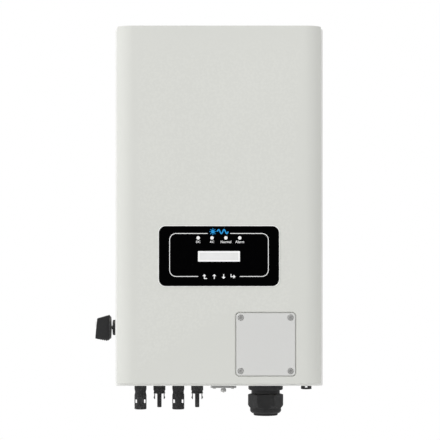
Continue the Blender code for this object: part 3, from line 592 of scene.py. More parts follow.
COVER = coated_metal("cover_powder_coat", (0.664, 0.670, 0.636), (0.658, 0.664, 0.630),
                     (0.5, 0.58), 1500.0, 0.025)
COVER_PLATE = coated_metal("cover_plate_powder_coat", (0.650, 0.652, 0.640), (0.644, 0.646, 0.634),
                           (0.5, 0.58), 1500.0, 0.025)
HOUSING = coated_metal("housing_powder_coat", (0.79, 0.792, 0.775), (0.775, 0.777, 0.76),
                       (0.5, 0.6), 900.0, 0.06)
FINS = bare_metal("extruded_aluminium", (0.72, 0.73, 0.74), (0.56, 0.57, 0.58), (700.0, 700.0, 5.0))
ZINC = zinc_plated("zinc_plate")
STAINLESS = bare_metal("stainless_screw", (0.6, 0.6, 0.59), (0.51, 0.51, 0.5),
                       (1500.0, 60.0, 1500.0), (0.42, 0.55))
NICKEL = bare_metal("nickel_plate", (0.78, 0.75, 0.68), (0.6, 0.57, 0.5),
                    (1200.0, 1200.0, 40.0), (0.2, 0.34))
TINNED = bare_metal("tinned_contact", (0.8, 0.77, 0.7), (0.62, 0.58, 0.5),
                    (900.0, 900.0, 30.0), (0.22, 0.35))
RUBBER = moulded("seal_rubber", (0.022, 0.022, 0.022), (0.05, 0.05, 0.05), (0.7, 0.85), 1500.0, 0.1, 0.5)
NYLON = moulded("black_nylon", (0.026, 0.026, 0.027), (0.07, 0.07, 0.073), (0.5, 0.62))
GLAND_NYLON = moulded("gland_nylon", (0.024, 0.024, 0.025), (0.05, 0.05, 0.052), (0.55, 0.66), 2600.0, 0.08)
PALE_NYLON = moulded("natural_nylon", (0.86, 0.85, 0.82), (0.9, 0.9, 0.88))
DARK_CASE = moulded("component_case", (0.05, 0.052, 0.056), (0.1, 0.1, 0.11), (0.4, 0.55), 2000.0)
PANEL = printed("panel_ink", (0.0006, 0.0006, 0.0008), (0.22, 0.3), 0.04)
WHITE_INK = printed("white_ink", (0.95, 0.95, 0.95))
BLUE_INK = printed("blue_ink", (0.016, 0.31, 0.72))
# pale ink for the ring round the display panel: a painted highlight along the panel's edge
PAINTED_EDGE_HIGHLIGHT = printed("painted_highlight_ink", (0.95, 0.955, 0.93))
LCD_PANE = display_glass("lcd_pane", (0.98, 0.98, 0.98), (0.80, 0.80, 0.80))
LENS = printed("milky_lens", (0.97, 0.97, 0.97), (0.2, 0.28))
BOARD = circuit_board("solder_mask")


# Places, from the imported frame.
COVER_LOW, COVER_HIGH = (Vector(corner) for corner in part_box("front_cover"))
TUB_LOW, TUB_HIGH = (Vector(corner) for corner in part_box("rear_housing"))
PLATE_LOW, PLATE_HIGH = (Vector(corner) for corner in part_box("ac_cover"))
PANEL_LOW, PANEL_HIGH = (Vector(corner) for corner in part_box("display_overlay"))
FACE = COVER_LOW.y
UNDER = TUB_LOW.z
PANEL_MIDDLE = (PANEL_LOW + PANEL_HIGH) / 2
PORT_Y = middle("gland_nut").y
SWITCH_AXIS = middle("dc_switch_escutcheon")
AC_SCREWS = [middle(f"ac_cover_screw_{number}") for number in range(1, 5)]
SIDE_SCREWS = [middle(f"cover_screw_{number}") for number in range(1, 5)]
SCREW_BORE = 2.3 * MM     # radius of the holes that the cover's screws pass through
STEEP = 1.4               # radians between two faces that meet at a sharp edge


def below(x):
    """The place where an upright axis of the row under the housing meets its underside."""
    return Vector((x, PORT_Y, UNDER))


# Sheet metal and castings.

def lies_at(axis, level, reach=0.05 * MM):
    """A test for edges and faces whose every point is at one level along an axis."""
    def test(element):
        return all(abs(vert.co[axis] - level) < reach for vert in element.verts)
    return test


def turns_in(edge):
    """True of edges where the front face turns steeply inwards."""
    return lies_at(1, FACE)(edge) and edge.calc_face_angle(0) > STEEP


def countersink(number, grow=0.0):
    """The cone that a side screw's head fills, with the cylinder behind it."""
    place = SIDE_SCREWS[number - 1]
    side = 1 if place.x > 0 else -1
    head = 4.2 * MM + grow
    neck = 2.0 * MM + grow
    profile = [(0, 1.2 * MM), (head, 1.2 * MM), (head, -0.4 * MM - grow), (neck, -2.2 * MM - grow),
               (neck, -4 * MM), (0, -4 * MM)]
    origin = (side * (COVER_HIGH.x - CLEAR), place.y, place.z)
    return lathe(f"countersink_{number}", profile, origin, (side, 0, 0), 24)


def make_front_cover():
    """Sheet cover bent round its two long edges, with the recess for the wiring plate."""
    bend = 27 * MM
    cover = slab("front_cover_fine", COVER_LOW, COVER_HIGH)
    with editing(cover):
        pick(cover, "FACE", lambda face: face.normal.y > 0.9)
        bpy.ops.mesh.delete(type="FACE")
        bevel(cover, lambda edge: runs_along(2)(edge) and lies_at(1, FACE)(edge), bend, 20)
        for level in (COVER_LOW.z, COVER_HIGH.z):
            bevel(cover, lambda edge: lies_at(2, level)(edge) and edge.is_manifold, 1.1 * MM, 4)
    modify(cover, "SOLIDIFY", thickness=2.5 * MM, offset=-1.0, use_even_offset=True)

    groove = Vector((1.6, 0, 1.6)) * MM
    clear = Vector((CLEAR, 0, CLEAR))
    depth = Vector((0, 6.3, 0)) * MM
    shallow = Vector((0, 2.2, 0)) * MM
    low = Vector((PLATE_LOW.x, FACE, PLATE_LOW.z)) - groove
    high = Vector((PLATE_HIGH.x, FACE, PLATE_HIGH.z)) + groove + depth
    wall = Vector((3, 0, 3)) * MM
    pan_low = low - wall + Vector((0, 1.2, 0)) * MM
    fuse(cover, slab("pan", pan_low, high + wall + Vector((0, 3, 0)) * MM))
    outside = Vector((0, 4, 0)) * MM
    carve(cover, plate("groove", low - outside, high - depth + shallow, 6.6 * MM, 1))
    carve(cover, plate("pocket", low + groove - clear - outside, high - groove + clear, 5.2 * MM, 1))
    round_pocket(cover, low - 4 * groove, high + 4 * groove)
    ledge = Vector((16, 0, 16)) * MM
    far = Vector((0, 20, 0)) * MM
    carve(cover, plate("hand_hole", low + ledge - far / 4, high - ledge + far, 6 * MM, 1))
    for place in AC_SCREWS:
        drill(cover, SCREW_BORE, place, 1, (FACE - 6 * MM, FACE + 22 * MM), 24)
    behind = around((0, FACE, PANEL_MIDDLE.z), (150 * MM, 20 * MM, 80 * MM))
    carve(cover, plate("panel_hole", *behind, 4 * MM, 1))
    for number in range(1, 5):
        carve(cover, countersink(number, CLEAR))
    soften(cover, 0.35 * MM, 2, 40)
    return fit(cover, "root", "cover_paint", COVER, "front_cover")


def round_pocket(cover, low, high):
    """Round the edge where the cover's face turns down into the wiring plate's pocket."""
    def test(edge):
        inside = all(low.x < vert.co.x < high.x and low.z < vert.co.z < high.z for vert in edge.verts)
        return inside and turns_in(edge)
    with editing(cover):
        bevel(cover, test, 0.8 * MM, 4)


def roll_rim(deep, across, upward, steps=8):
    """Draw the picked front face of the housing forwards, narrowing it along a quarter round."""
    centre = (TUB_LOW + TUB_HIGH) / 2
    half = (TUB_HIGH - TUB_LOW) / 2
    forward = 0.0
    width, height = half.x, half.z
    for step in range(1, steps + 1):
        angle = step * math.pi / 2 / steps
        move = deep * math.sin(angle) - forward
        forward += move
        bpy.ops.mesh.extrude_region_move(TRANSFORM_OT_translate={"value": (0, -move, 0)})
        narrow = half.x - across * (1 - math.cos(angle))
        low = half.z - upward * (1 - math.cos(angle))
        bpy.ops.transform.resize(value=(narrow / width, 1, low / height), center_override=centre)
        width, height = narrow, low


def make_rear_housing():
    """Cast tub: rounded rim, inward flange, screw tabs and holes for everything below."""
    rim = COVER_HIGH.y + 2.2 * MM
    deep = 4.6 * MM
    tub = slab("rear_housing_fine", (TUB_LOW.x, rim + deep, TUB_LOW.z), TUB_HIGH)
    with editing(tub):
        bevel(tub, runs_along(1), 2.5 * MM, 6)
        bevel(tub, lies_at(1, TUB_HIGH.y), 1.0 * MM, 3)
        pick(tub, "FACE", lies_at(1, rim + deep))
        roll_rim(deep, 4.6 * MM, 1.2 * MM)
    wall = 3 * MM
    skin = Vector((wall, wall, wall))
    carve(tub, slab("inside", Vector((TUB_LOW.x, rim, TUB_LOW.z)) + skin, TUB_HIGH - skin))
    flange = Vector((18 * MM, 0, 18 * MM))
    mouth_low = Vector((COVER_LOW.x, rim - wall, COVER_LOW.z)) + flange
    mouth_high = Vector((COVER_HIGH.x, rim + 2 * wall, COVER_HIGH.z)) - flange
    carve(tub, slab("mouth", mouth_low, mouth_high))
    for number, place in enumerate(SIDE_SCREWS, start=1):
        side = 1 if place.x > 0 else -1
        faces = sorted((side * (COVER_HIGH.x - 5.1 * MM), side * (COVER_HIGH.x - 8.1 * MM)))
        tab_low = (faces[0], rim - 22 * MM, place.z - 12 * MM)
        tab_high = (faces[1], rim + wall / 2, place.z + 12 * MM)
        fuse(tub, plate(f"tab_{number}", tab_low, tab_high, 2 * MM, 0, 3))
        drill(tub, SCREW_BORE, place, 0, [side * (COVER_HIGH.x - step * MM) for step in (14, 2)], 24)
    holes = [(node, 6.0) for node in ("pv_socket_1", "pv_plug_1", "pv_socket_2", "pv_plug_2", "vent_valve")]
    for node, radius in holes + [("gland_body", 20.0)]:
        drill(tub, radius * MM, below(middle(node).x), 2, (UNDER - 10 * MM, UNDER + 13 * MM), 48)
    port = around(below(middle("comm_plate").x), (21 * MM, 20 * MM, 24 * MM))
    carve(tub, slab("comm_hole", *port))
    drill(tub, 4 * MM, SWITCH_AXIS, 0, (TUB_LOW.x - 10 * MM, TUB_LOW.x + 10 * MM))
    soften(tub, 0.3 * MM, 2, 40)
    return fit(tub, "root", "housing_paint", HOUSING, "rear_housing")


def make_back():
    """Bracket, hanging bar and fins, with their edges eased, and the earth screw."""
    for node in ("wall_bracket", "hanger_bar"):
        fit(polished(node, 0.5 * MM, 3), "root", "zinc_sheet", ZINC, node)
    fit(polished("heat_sink", 0.35 * MM, 2), "root", "aluminium_fins", FINS, "heat_sink")
    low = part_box("ground_screw")[0]
    place = middle("ground_screw")
    foot = low[2] + 3.5 * MM
    head = [(0, -3.5), (3.1, -3.5), (3.8, -2.9), (3.8, -0.3), (2, -0.3), (2, 12), (0, 12)]
    screw = lathe("ground_screw_fine", scaled(head), (place.x, place.y, foot), steps=32)
    cross_recess(screw, (place.x, place.y, low[2]), (0, 0, -1), 3.6 * MM, 1.4 * MM)
    soften(screw, 0.15 * MM, 2, 30)
    fit(screw, "root", "nickel_brass", NICKEL, "ground_screw")


def cross_recess(screw, face, out, width, depth):
    """Cut a cross for the driver into a screw's head, out being the way the head faces."""
    out = Vector(out)
    for number in range(2):
        blade = slab("blade", (-width / 2, -width / 7, -depth), (width / 2, width / 7, depth))
        blade.rotation_euler.z = number * math.pi / 2
        settle(blade)
        turn(blade, out, face)
        carve(screw, blade)
    return screw


# The display panel. Heights and widths on it are from its middle, in millimetres.

def on_panel(x, z, out=0.0):
    """A point on the panel's face, given in millimetres, and standing out from it."""
    return Vector((x * MM, PANEL_LOW.y - out * MM, PANEL_MIDDLE.z + z * MM))


def make_panel():
    """Black sheet with its window, light holes and key holes, and a soft polished rim."""
    sheet = plate("display_overlay_fine", PANEL_LOW, PANEL_HIGH, 10.5 * MM, 1, 12)
    window = middle("lcd_window")
    carve(sheet, plate("window", *around(window, (65.8 * MM, 10 * MM, 17.0 * MM)), 0.6 * MM, 1, 3))
    for node in ("key_back", "key_up", "key_down", "key_enter"):
        place = middle(node)
        hole = around((place.x, PANEL_LOW.y, place.z), (11.6 * MM, 10 * MM, 11.6 * MM))
        carve(sheet, plate("key_hole", *hole, 1.5 * MM, 1, 6))
    for number in range(1, 5):
        levels = (PANEL_LOW.y - 5 * MM, PANEL_LOW.y + 5 * MM)
        drill(sheet, 3 * MM, middle(f"led_lens_{number}"), 1, levels, 40)
    soften(sheet, 0.25 * MM, 3, 40)
    return fit(sheet, "root", "panel_sheet", PANEL, "display_overlay")


def make_window():
    """Display pane: a pale frame round the grey ground, with its rim eased."""
    low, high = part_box("lcd_window")
    pane = plate("lcd_window_fine", low, high, 0.5 * MM, 1, 3)
    soften(pane, 0.2 * MM, 2, 40)
    return fit(pane, "root", "clear_window", LCD_PANE, "lcd_window")


def make_lights():
    """Four light pipes with domed ends."""
    wide = 2.7
    tall = 0.35
    for number in range(1, 5):
        node = f"led_lens_{number}"
        low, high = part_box(node)
        place = middle(node)
        length = high.y - low.y
        turns = [step * math.pi / 16 for step in range(9)]
        profile = scaled((math.sin(angle) * wide, math.cos(angle) * tall) for angle in turns)
        profile += [(wide * MM, -length), (0, -length)]
        lens = lathe(node + "_fine", profile, (place.x, low.y, place.z), (0, -1, 0), 40)
        fit(smooth(lens, 40), "root", "light_pipe", LENS, node)


def make_keys():
    """Four keys with slightly crowned faces, flanges behind the sheet, and arrows printed on them."""
    for node, outlines in ARROWS.items():
        low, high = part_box(node)
        place = middle(node)
        front = around((place.x, low.y + 0.9 * MM, place.z), (11 * MM, 1.8 * MM, 11 * MM))
        key = plate(node + "_fine", *front, 1.5 * MM, 1, 6)
        with editing(key):
            bevel(key, lies_at(1, low.y), 0.35 * MM, 3)
        rim = around((place.x, low.y + 2.2 * MM, place.z), (13 * MM, 0.8 * MM, 13 * MM))
        fuse(key, plate("flange", *rim, 1.5 * MM, 1, 4))
        fuse(key, pin("stem", 1.5 * MM, (place.x, low.y + 2.4 * MM, place.z), (place.x, high.y, place.z)))
        fit(smooth(key, 30), node, "key_caps", PANEL, node)
        face = (place.x, low.y - 0.01 * MM, place.z)
        arrow = drawn(node + "_arrow", [scaled(outline) for outline in outlines], 0.04 * MM, face)
        fit(arrow, node, "key_caps", WHITE_INK)


# Arrow outlines on the keys, in millimetres from each key's middle.
UP_ARROW = [(0, 3.8), (2.6, 1.1), (2.3, 0.6), (0.65, 0.3), (0.65, -3.7), (-0.65, -3.7), (-0.65, 0.3),
            (-2.3, 0.6), (-2.6, 1.1)]
ARROWS = {
    "key_back": [[(-0.9, 3.8), (1.6, 1.1), (1.3, 0.6), (-0.25, 0.3), (-0.25, -2.4), (3.1, -2.4), (3.1, -3.7),
                  (-1.55, -3.7), (-1.55, 0.3), (-3.1, 0.6), (-3.4, 1.1)]],
    "key_up": [UP_ARROW],
    "key_down": [[(x, -z) for x, z in reversed(UP_ARROW)]],
    "key_enter": [[(-3.8, 3.7), (-2.5, 3.7), (-2.5, 0.4), (0.4, 0.4), (0.7, 2.2), (1.2, 2.5), (3.9, -0.2),
                   (1.2, -2.9), (0.7, -2.6), (0.4, -0.9), (-3.8, -0.9)]],
}


def make_outline():
    """White line round the panel's print, open at the top and the bottom."""
    wide, top, low, corner, line = 77.1, 35.6, -32.1, 10.5, 1.0
    top_end = 17.5
    low_end = 32.3
    high_centre = (wide - corner, top - corner)
    low_centre = (wide - corner, low + corner)
    path = [(top_end, top)]
    path += arc(high_centre, corner, 90, 0, 12) + arc(low_centre, corner, 0, -90, 12)
    path += [(low_end, low), (low_end, low + line)]
    path += arc(low_centre, corner - line, -90, 0, 12) + arc(high_centre, corner - line, 0, 90, 12)
    path += [(top_end, top - line)]
    for side, name in ((1, "right"), (-1, "left")):
        print_on_panel("panel_line_" + name, [scaled((side * x, z) for x, z in path)], WHITE_INK)


def print_on_panel(name, outlines, ink, x=0.0, z=0.0):
    """A flat print on the panel, its outlines in metres round a point of the panel."""
    mark = drawn(name, outlines, 0.04 * MM, on_panel(x, z, 0.01))
    return fit(mark, "root", "panel_sheet", ink)


def make_emblem():
    """Plain sun and wave in blue above the lights."""
    sun = [arc((-9.4 * MM, 0), 2.9 * MM, 0, 350, 35)]
    for number in range(8):
        angle = math.radians(45 * number)
        across = Vector((-math.sin(angle), math.cos(angle)))
        along = Vector((math.cos(angle), math.sin(angle)))
        ray = [along * 3.7 - across * 0.6, along * 5.3 - across * 0.35, along * 5.3 + across * 0.35,
               along * 3.7 + across * 0.6]
        sun.append([((point.x - 9.4) * MM, point.y * MM) for point in ray])
    print_on_panel("panel_sun", sun, BLUE_INK, 0, 38)
    steps = 64
    swing = 3.1
    wide = 17.0
    top = []
    low = []
    for step in range(steps + 1):
        turned = step / steps * 4 * math.pi
        slope = Vector((wide / (4 * math.pi), swing * math.cos(turned))).normalized()
        out = Vector((-slope.y, slope.x)) * 0.95
        point = Vector((wide * step / steps - 2.7, swing * math.sin(turned)))
        top.append(tuple((point + out) * MM))
        low.append(tuple((point - out) * MM))
    print_on_panel("panel_wave", [top + low[::-1]], BLUE_INK, 0, 38)


def make_panel_highlight_ring():
    """Thin pale ring all round the black print: a painted highlight, the light caught along the panel's
    edge.
    """
    half = (PANEL_HIGH.z - PANEL_LOW.z) / 2
    outer = rounded_outline(PANEL_HIGH.x + 1.4 * MM, half + 1.4 * MM, 11.9 * MM)
    inner = rounded_outline(PANEL_HIGH.x - 0.5 * MM, half - 0.5 * MM, 10 * MM)
    # the ring is pale ink standing for light caught on the panel's edge: a painted highlight
    margin = drawn("panel_painted_highlight_ring", [outer, inner], 1.0 * MM, (0, FACE - 0.5 * MM, PANEL_MIDDLE.z))
    return fit(soften(margin, 0.2 * MM, 2, 40), "root", "panel_sheet", PAINTED_EDGE_HIGHLIGHT)


def rounded_outline(wide, tall, corner):
    """Outline of a rounded rectangle, given its half sizes."""
    points = []
    for index, (x, z) in enumerate(((1, 1), (-1, 1), (-1, -1), (1, -1))):
        centre = (x * (wide - corner), z * (tall - corner))
        points += arc(centre, corner, 90 * index, 90 * index + 90, 12)
    return points


def lettered(name, text, size, x, z, body, ink):
    """A short plain label in white on the panel, centred on a point."""
    bpy.ops.object.text_add(align="WORLD")
    label = named(name)
    label.data.body = text
    label.data.size = size
    label.data.align_x = "CENTER"
    label.data.align_y = "CENTER"
    label.data.extrude = 0.02 * MM
    label.data.offset = 0.05 * MM
    only(label)
    bpy.ops.object.convert(target="MESH")
    label = named(name)
    label.rotation_euler = (math.pi / 2, 0, 0)
    label.location = on_panel(x, z, 0.01)
    settle(label)
    with editing(label):
        weld(0.001 * MM)
    return fit(label, body, "panel_sheet", ink)


def make_labels():
    """Plain words under the four lights."""
    words = (("DC", 4.9), ("AC", 4.9), ("Normal", 5.4), ("Alarm", 5.5))
    for number, (word, size) in enumerate(words, start=1):
        place = middle(f"led_lens_{number}")
        lettered(f"light_label_{number}", word, size * MM, place.x / MM, 21.9, "root", WHITE_INK)


# The wiring plate and the screws.

def make_plate():
    """Flush plate with eased edges and four sunk holes."""
    sheet = plate("ac_cover_fine", PLATE_LOW, PLATE_HIGH, 5 * MM, 1, 10)
    profile = [(0, 1), (5.4, 1), (4.65, -0.6), (4.65, -2.3), (2.3, -2.3), (2.3, -8), (0, -8)]
    for place in AC_SCREWS:
        carve(sheet, lathe("sunk", scaled(profile), (place.x, FACE, place.z), (0, -1, 0), 40))
    with editing(sheet):
        bevel(sheet, turns_in, 1.1 * MM, 5)
    soften(sheet, 0.12 * MM, 2, 40)
    return fit(sheet, "root", "plate_paint", COVER_PLATE, "ac_cover")


def turned_screw(node, profile, place, out, cross, ease):
    """A screw with a driver recess, in place of a CAD node."""
    screw = lathe(node + "_fine", scaled(profile), place, out, 40)
    cross_recess(screw, place, out, *cross)
    fit(soften(screw, ease, 2, 35), "root", "screw_steel", STAINLESS, node)


def make_screws():
    """Pan screws in the plate and countersunk ones in the cover's sides, with driver recesses."""
    for number, place in enumerate(AC_SCREWS, start=1):
        node = f"ac_cover_screw_{number}"
        low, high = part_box(node)
        length = (high.y - low.y) / MM
        profile = [(0, 0), (3.6, 0), (4.1, -0.2), (4.3, -0.6), (4.3, -2), (2, -2),
                   (2, -length + 0.8), (1.3, -length), (0, -length)]
        head = (place.x, low.y, place.z)
        turned_screw(node, profile, head, (0, -1, 0), (3.8 * MM, 0.9 * MM), 0.12 * MM)
    profile = [(0, 0), (3.9, 0), (4.2, -0.4), (2, -2.2), (2, -9.8), (1.3, -10.5), (0, -10.5)]
    for number, place in enumerate(SIDE_SCREWS, start=1):
        side = 1 if place.x > 0 else -1
        head = (side * (COVER_HIGH.x - CLEAR), place.y, place.z)
        turned_screw(f"cover_screw_{number}", profile, head, (side, 0, 0), (4.2 * MM, 1.2 * MM), 0.1 * MM)


# The switch on the left wall.

def make_switch():
    """Collar, shaft and knob: a round skirt with a tapered, ribbed grip and a white pointer."""
    wall = TUB_LOW.x - CLEAR
    origin = (wall, SWITCH_AXIS.y, SWITCH_AXIS.z)
    collar = [(10.6, 5.2), (11.5, 5.0), (12.1, 4.5), (12.35, 3.7), (12.35, 0), (4, 0), (4, 4.8), (4.4, 5.2),
              (7.6, 5.2), (7.9, 4.8), (8.5, 4.8), (8.8, 5.2)]
    ring = lathe("dc_switch_escutcheon_fine", scaled(collar), origin, (-1, 0, 0), 64, True)
    fit(smooth(ring, 40), "root", "black_nylon", NYLON, "dc_switch_escutcheon")
    fit(polished("dc_switch_shaft", 0.3 * MM), "dc_switch", "natural_nylon", PALE_NYLON, "dc_switch_shaft")

    skirt_back = wall - 7.7 * MM
    front = -2.8          # the skirt's front, from its back; the grip's outline starts there
    disc = [(0, 2.8), (15.8, 2.8), (17.1, 2.5), (17.8, 1.8), (17.8, 0.5), (17.5, 0), (0, 0)]
    place = (skirt_back, SWITCH_AXIS.y, SWITCH_AXIS.z)
    knob = lathe("dc_switch_knob_fine", scaled(disc), place, (-1, 0, 0), 64)
    grip = [(front + 1.0, 18.5), (front - 0.4, 20.2), (front - 19.2, 14.7)]
    for step in range(8):
        bulge = 0.5 * (step / 7) * (1 - step / 7)
        grip.append((front - 19.4 - 0.4 * step - bulge, 14.2 - 4.1 * step))
    grip += [(front - 22.3, -17.2), (front - 12.0, -19.8), (front - 2.7, -21.2), (front + 1.0, -18.5)]
    handle = drawn("handle", [scaled(grip)], 16 * MM, place)
    soften(handle, 1.5 * MM, 4, 40)
    fuse(knob, handle)
    through = (SWITCH_AXIS.y - 12 * MM, SWITCH_AXIS.y + 12 * MM)
    ribs = 5
    for number in range(ribs):
        share = (number + 0.7) / (ribs + 0.6)
        x = front - 0.9 - 17.6 * share
        for edge in (20.2 - 5.4 * (x - front + 0.4) / -18.8, -20.4 + 2.1 * share):
            side = 1 if edge > 0 else -1
            spot = (skirt_back + x * MM, 0, SWITCH_AXIS.z + (edge + side * 0.35) * MM)
            drill(knob, 0.75 * MM, spot, 1, through, 20)
    drill(knob, 3.3 * MM, place, 0, (skirt_back + 1 * MM, skirt_back - 11.1 * MM))
    smooth(knob, 32)
    fit(knob, "dc_switch", "black_nylon", NYLON, "dc_switch_knob")
    tip = (skirt_back - 24.55 * MM, SWITCH_AXIS.y, SWITCH_AXIS.z + 6 * MM)
    stroke = around(tip, (0.5 * MM, 1.6 * MM, 9 * MM))
    pointer = plate("dc_switch_pointer", *stroke, 0.7 * MM, 0, 4)
    fit(smooth(pointer, 40), "dc_switch", "black_nylon", WHITE_INK)


# Everything under the housing. Profiles are in millimetres, their heights measured up from its underside.
PORT_TOP = 12.0           # how far the four power connectors reach into the housing
PORT_COLLAR = [(0, PORT_TOP), (5.7, PORT_TOP), (5.7, -0.3), (9.1, -0.3), (9.6, -0.6), (9.7, -1.2)]


def hanging(name, profile, x, steps=48, ring=False, drop=0.0):
    """A turned piece on a vertical axis under the housing."""
    return lathe(name, scaled(profile), (x, PORT_Y, UNDER - drop), steps=steps, ring=ring)


def flutes(piece, x, radius, levels, count, size, sides=12, shift=0.5):
    """Cut a row of upright grooves round a turned piece, the first one turned by a shift."""
    for number in range(count):
        angle = 2 * math.pi * (number + shift) / count
        place = (x + radius * math.cos(angle), PORT_Y + radius * math.sin(angle), 0)
        drill(piece, size, place, 2, levels, sides)


def make_sockets():
    """Two waisted sockets, open below, with a window on each side and a ribbed collar."""
    for number in (1, 2):
        node = f"pv_socket_{number}"
        x = middle(node).x
        waist = [(9.7 - 0.9 * math.sin(math.pi * step / 10) ** 2, -6.5 - 1.1 * step) for step in range(11)]
        profile = [*PORT_COLLAR, *waist, (9.7, -38.4), (9.4, -39.2), (8.8, -39.5), (7.9, -39.5),
                   (7.5, -39.1), (7.5, -16.5), (0, -16.5)]
        socket = hanging(node + "_fine", profile, x)
        drill(socket, 2.3 * MM, below(x), 2, (UNDER - 18 * MM, UNDER + (PORT_TOP + 1) * MM))
        for side in (-1, 1):
            window = around((x + side * 6.8 * MM, PORT_Y, UNDER - 26.8 * MM), (2.8 * MM, 30 * MM, 6.6 * MM))
            carve(socket, plate("window", *window, 0.5 * MM, 1, 3))
            flat = around((x, PORT_Y + side * 10.6 * MM, UNDER - 12.2 * MM), (12 * MM, 3 * MM, 8.4 * MM))
            carve(socket, plate("flat", *flat, 1.2 * MM, 1, 4))
        for height in (-30.9, -33.1, -35.3):
            ring = [(9.45, height + 0.35), (10.2, height + 0.45), (10.2, height - 0.45),
                    (9.45, height - 0.35)]
            carve(socket, hanging("rib_gap", ring, x, 48, True))
        fit(soften(socket, 0.2 * MM, 2, 35), "root", "black_nylon", NYLON, node)


def make_plugs():
    """Two plugs with a slim nose, and the springy latch arms beside them."""
    profile = [*PORT_COLLAR, (9.7, -8.8), (9.3, -9.3), (8.9, -9.9), (8.9, -12.4), (9.3, -13.0), (9.6, -13.4),
               (9.6, -13.9), (9.2, -14.1), (4.2, -14.1), (3.9, -14.4), (3.6, -15.2), (3.5, -16.0),
               (3.5, -35.4), (3.2, -36.0), (2.6, -36.3), (0, -36.3)]
    outline = [(6.9, 0), (8.3, 0), (8.3, -4.5), (9.3, -5.5), (9.3, -6.3), (7.9, -9), (6.9, -9)]
    arm_number = 0
    for number in (1, 2):
        node = f"pv_plug_{number}"
        x = middle(node).x
        plug = hanging(node + "_fine", profile, x)
        drill(plug, 2 * MM, below(x), 2, (UNDER - 40 * MM, UNDER + (PORT_TOP + 1) * MM))
        flutes(plug, x, 10.0 * MM, (UNDER - 8.2 * MM, UNDER - 1.5 * MM), 20, 0.55 * MM)
        fit(soften(plug, 0.15 * MM, 2, 35), "root", "black_nylon", NYLON, node)
        for side in (-1, 1):
            arm_number += 1
            arm = f"latch_arm_{arm_number}"
            moved = scaled((side * across, height) for across, height in outline)
            shape = drawn(arm + "_fine", [moved], 4 * MM, (x, PORT_Y, UNDER - 14.4 * MM))
            fit(soften(shape, 0.3 * MM, 3, 30), arm, "black_nylon", NYLON, arm)


def make_comm_port():
    """Plate with two raised screws and an aerial jack under its cap."""
    low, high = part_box("comm_plate")
    face = low.z
    drop = UNDER - face
    through = (face - 10 * MM, face + 12 * MM)
    centre = middle("comm_plate")
    sheet = plate("comm_plate_fine", low, high, 3 * MM, 2, 6)
    drill(sheet, 3.3 * MM, below(centre.x), 2, through)
    profile = [(0, 13), (1.5, 13), (1.5, -0.3), (2.5, -0.3), (2.7, -0.5), (2.7, -1.5), (2.3, -2.2),
               (1.7, -2.6), (0, -2.6)]
    for number in (1, 2):
        node = f"comm_plate_screw_{number}"
        x = middle(node).x
        drill(sheet, 1.8 * MM, below(x), 2, through, 24)
        screw = hanging(node + "_fine", profile, x, 32, False, drop)
        cross_recess(screw, (x, PORT_Y, face - 2.6 * MM), (0, 0, -1), 3.0 * MM, 1.2 * MM)
        fit(soften(screw, 0.1 * MM, 2, 35), "root", "screw_steel", STAINLESS, node)
    fit(soften(sheet, 0.4 * MM, 3, 40), "root", "zinc_sheet", ZINC, "comm_plate")

    jack = [(0, 8), (3, 8), (3, -0.3), (3.5, -0.3), (3.5, -2.3), (3.2, -2.8)]
    for turn_number in range(5):
        height = -2.9 - 0.55 * turn_number
        jack += [(3.1, height - 0.1), (2.85, height - 0.35)]
    jack += [(2.9, -6.0), (0, -6.0)]
    stub = hanging("antenna_jack_fine", jack, centre.x, 40, False, drop)
    fit(smooth(stub, 30), "root", "nickel_brass", STAINLESS, "antenna_jack")
    cap = [(3.5, -2.9), (4.1, -2.9), (4.4, -3.2), (4.4, -6.4), (4.1, -6.9), (3.6, -7.2), (1.7, -7.4),
           (1.4, -7.7), (1.4, -8.1), (1.1, -8.4), (0, -8.4), (0, -6.3), (3.5, -6.3)]
    shell = hanging("antenna_cap_fine", cap, centre.x, 48, True, drop)
    flutes(shell, centre.x, 4.6 * MM, (face - 6.3 * MM, face - 3.4 * MM), 16, 0.35 * MM, 10, 0)
    fit(smooth(shell, 35), "antenna_cap", "nickel_brass", STAINLESS, "antenna_cap")


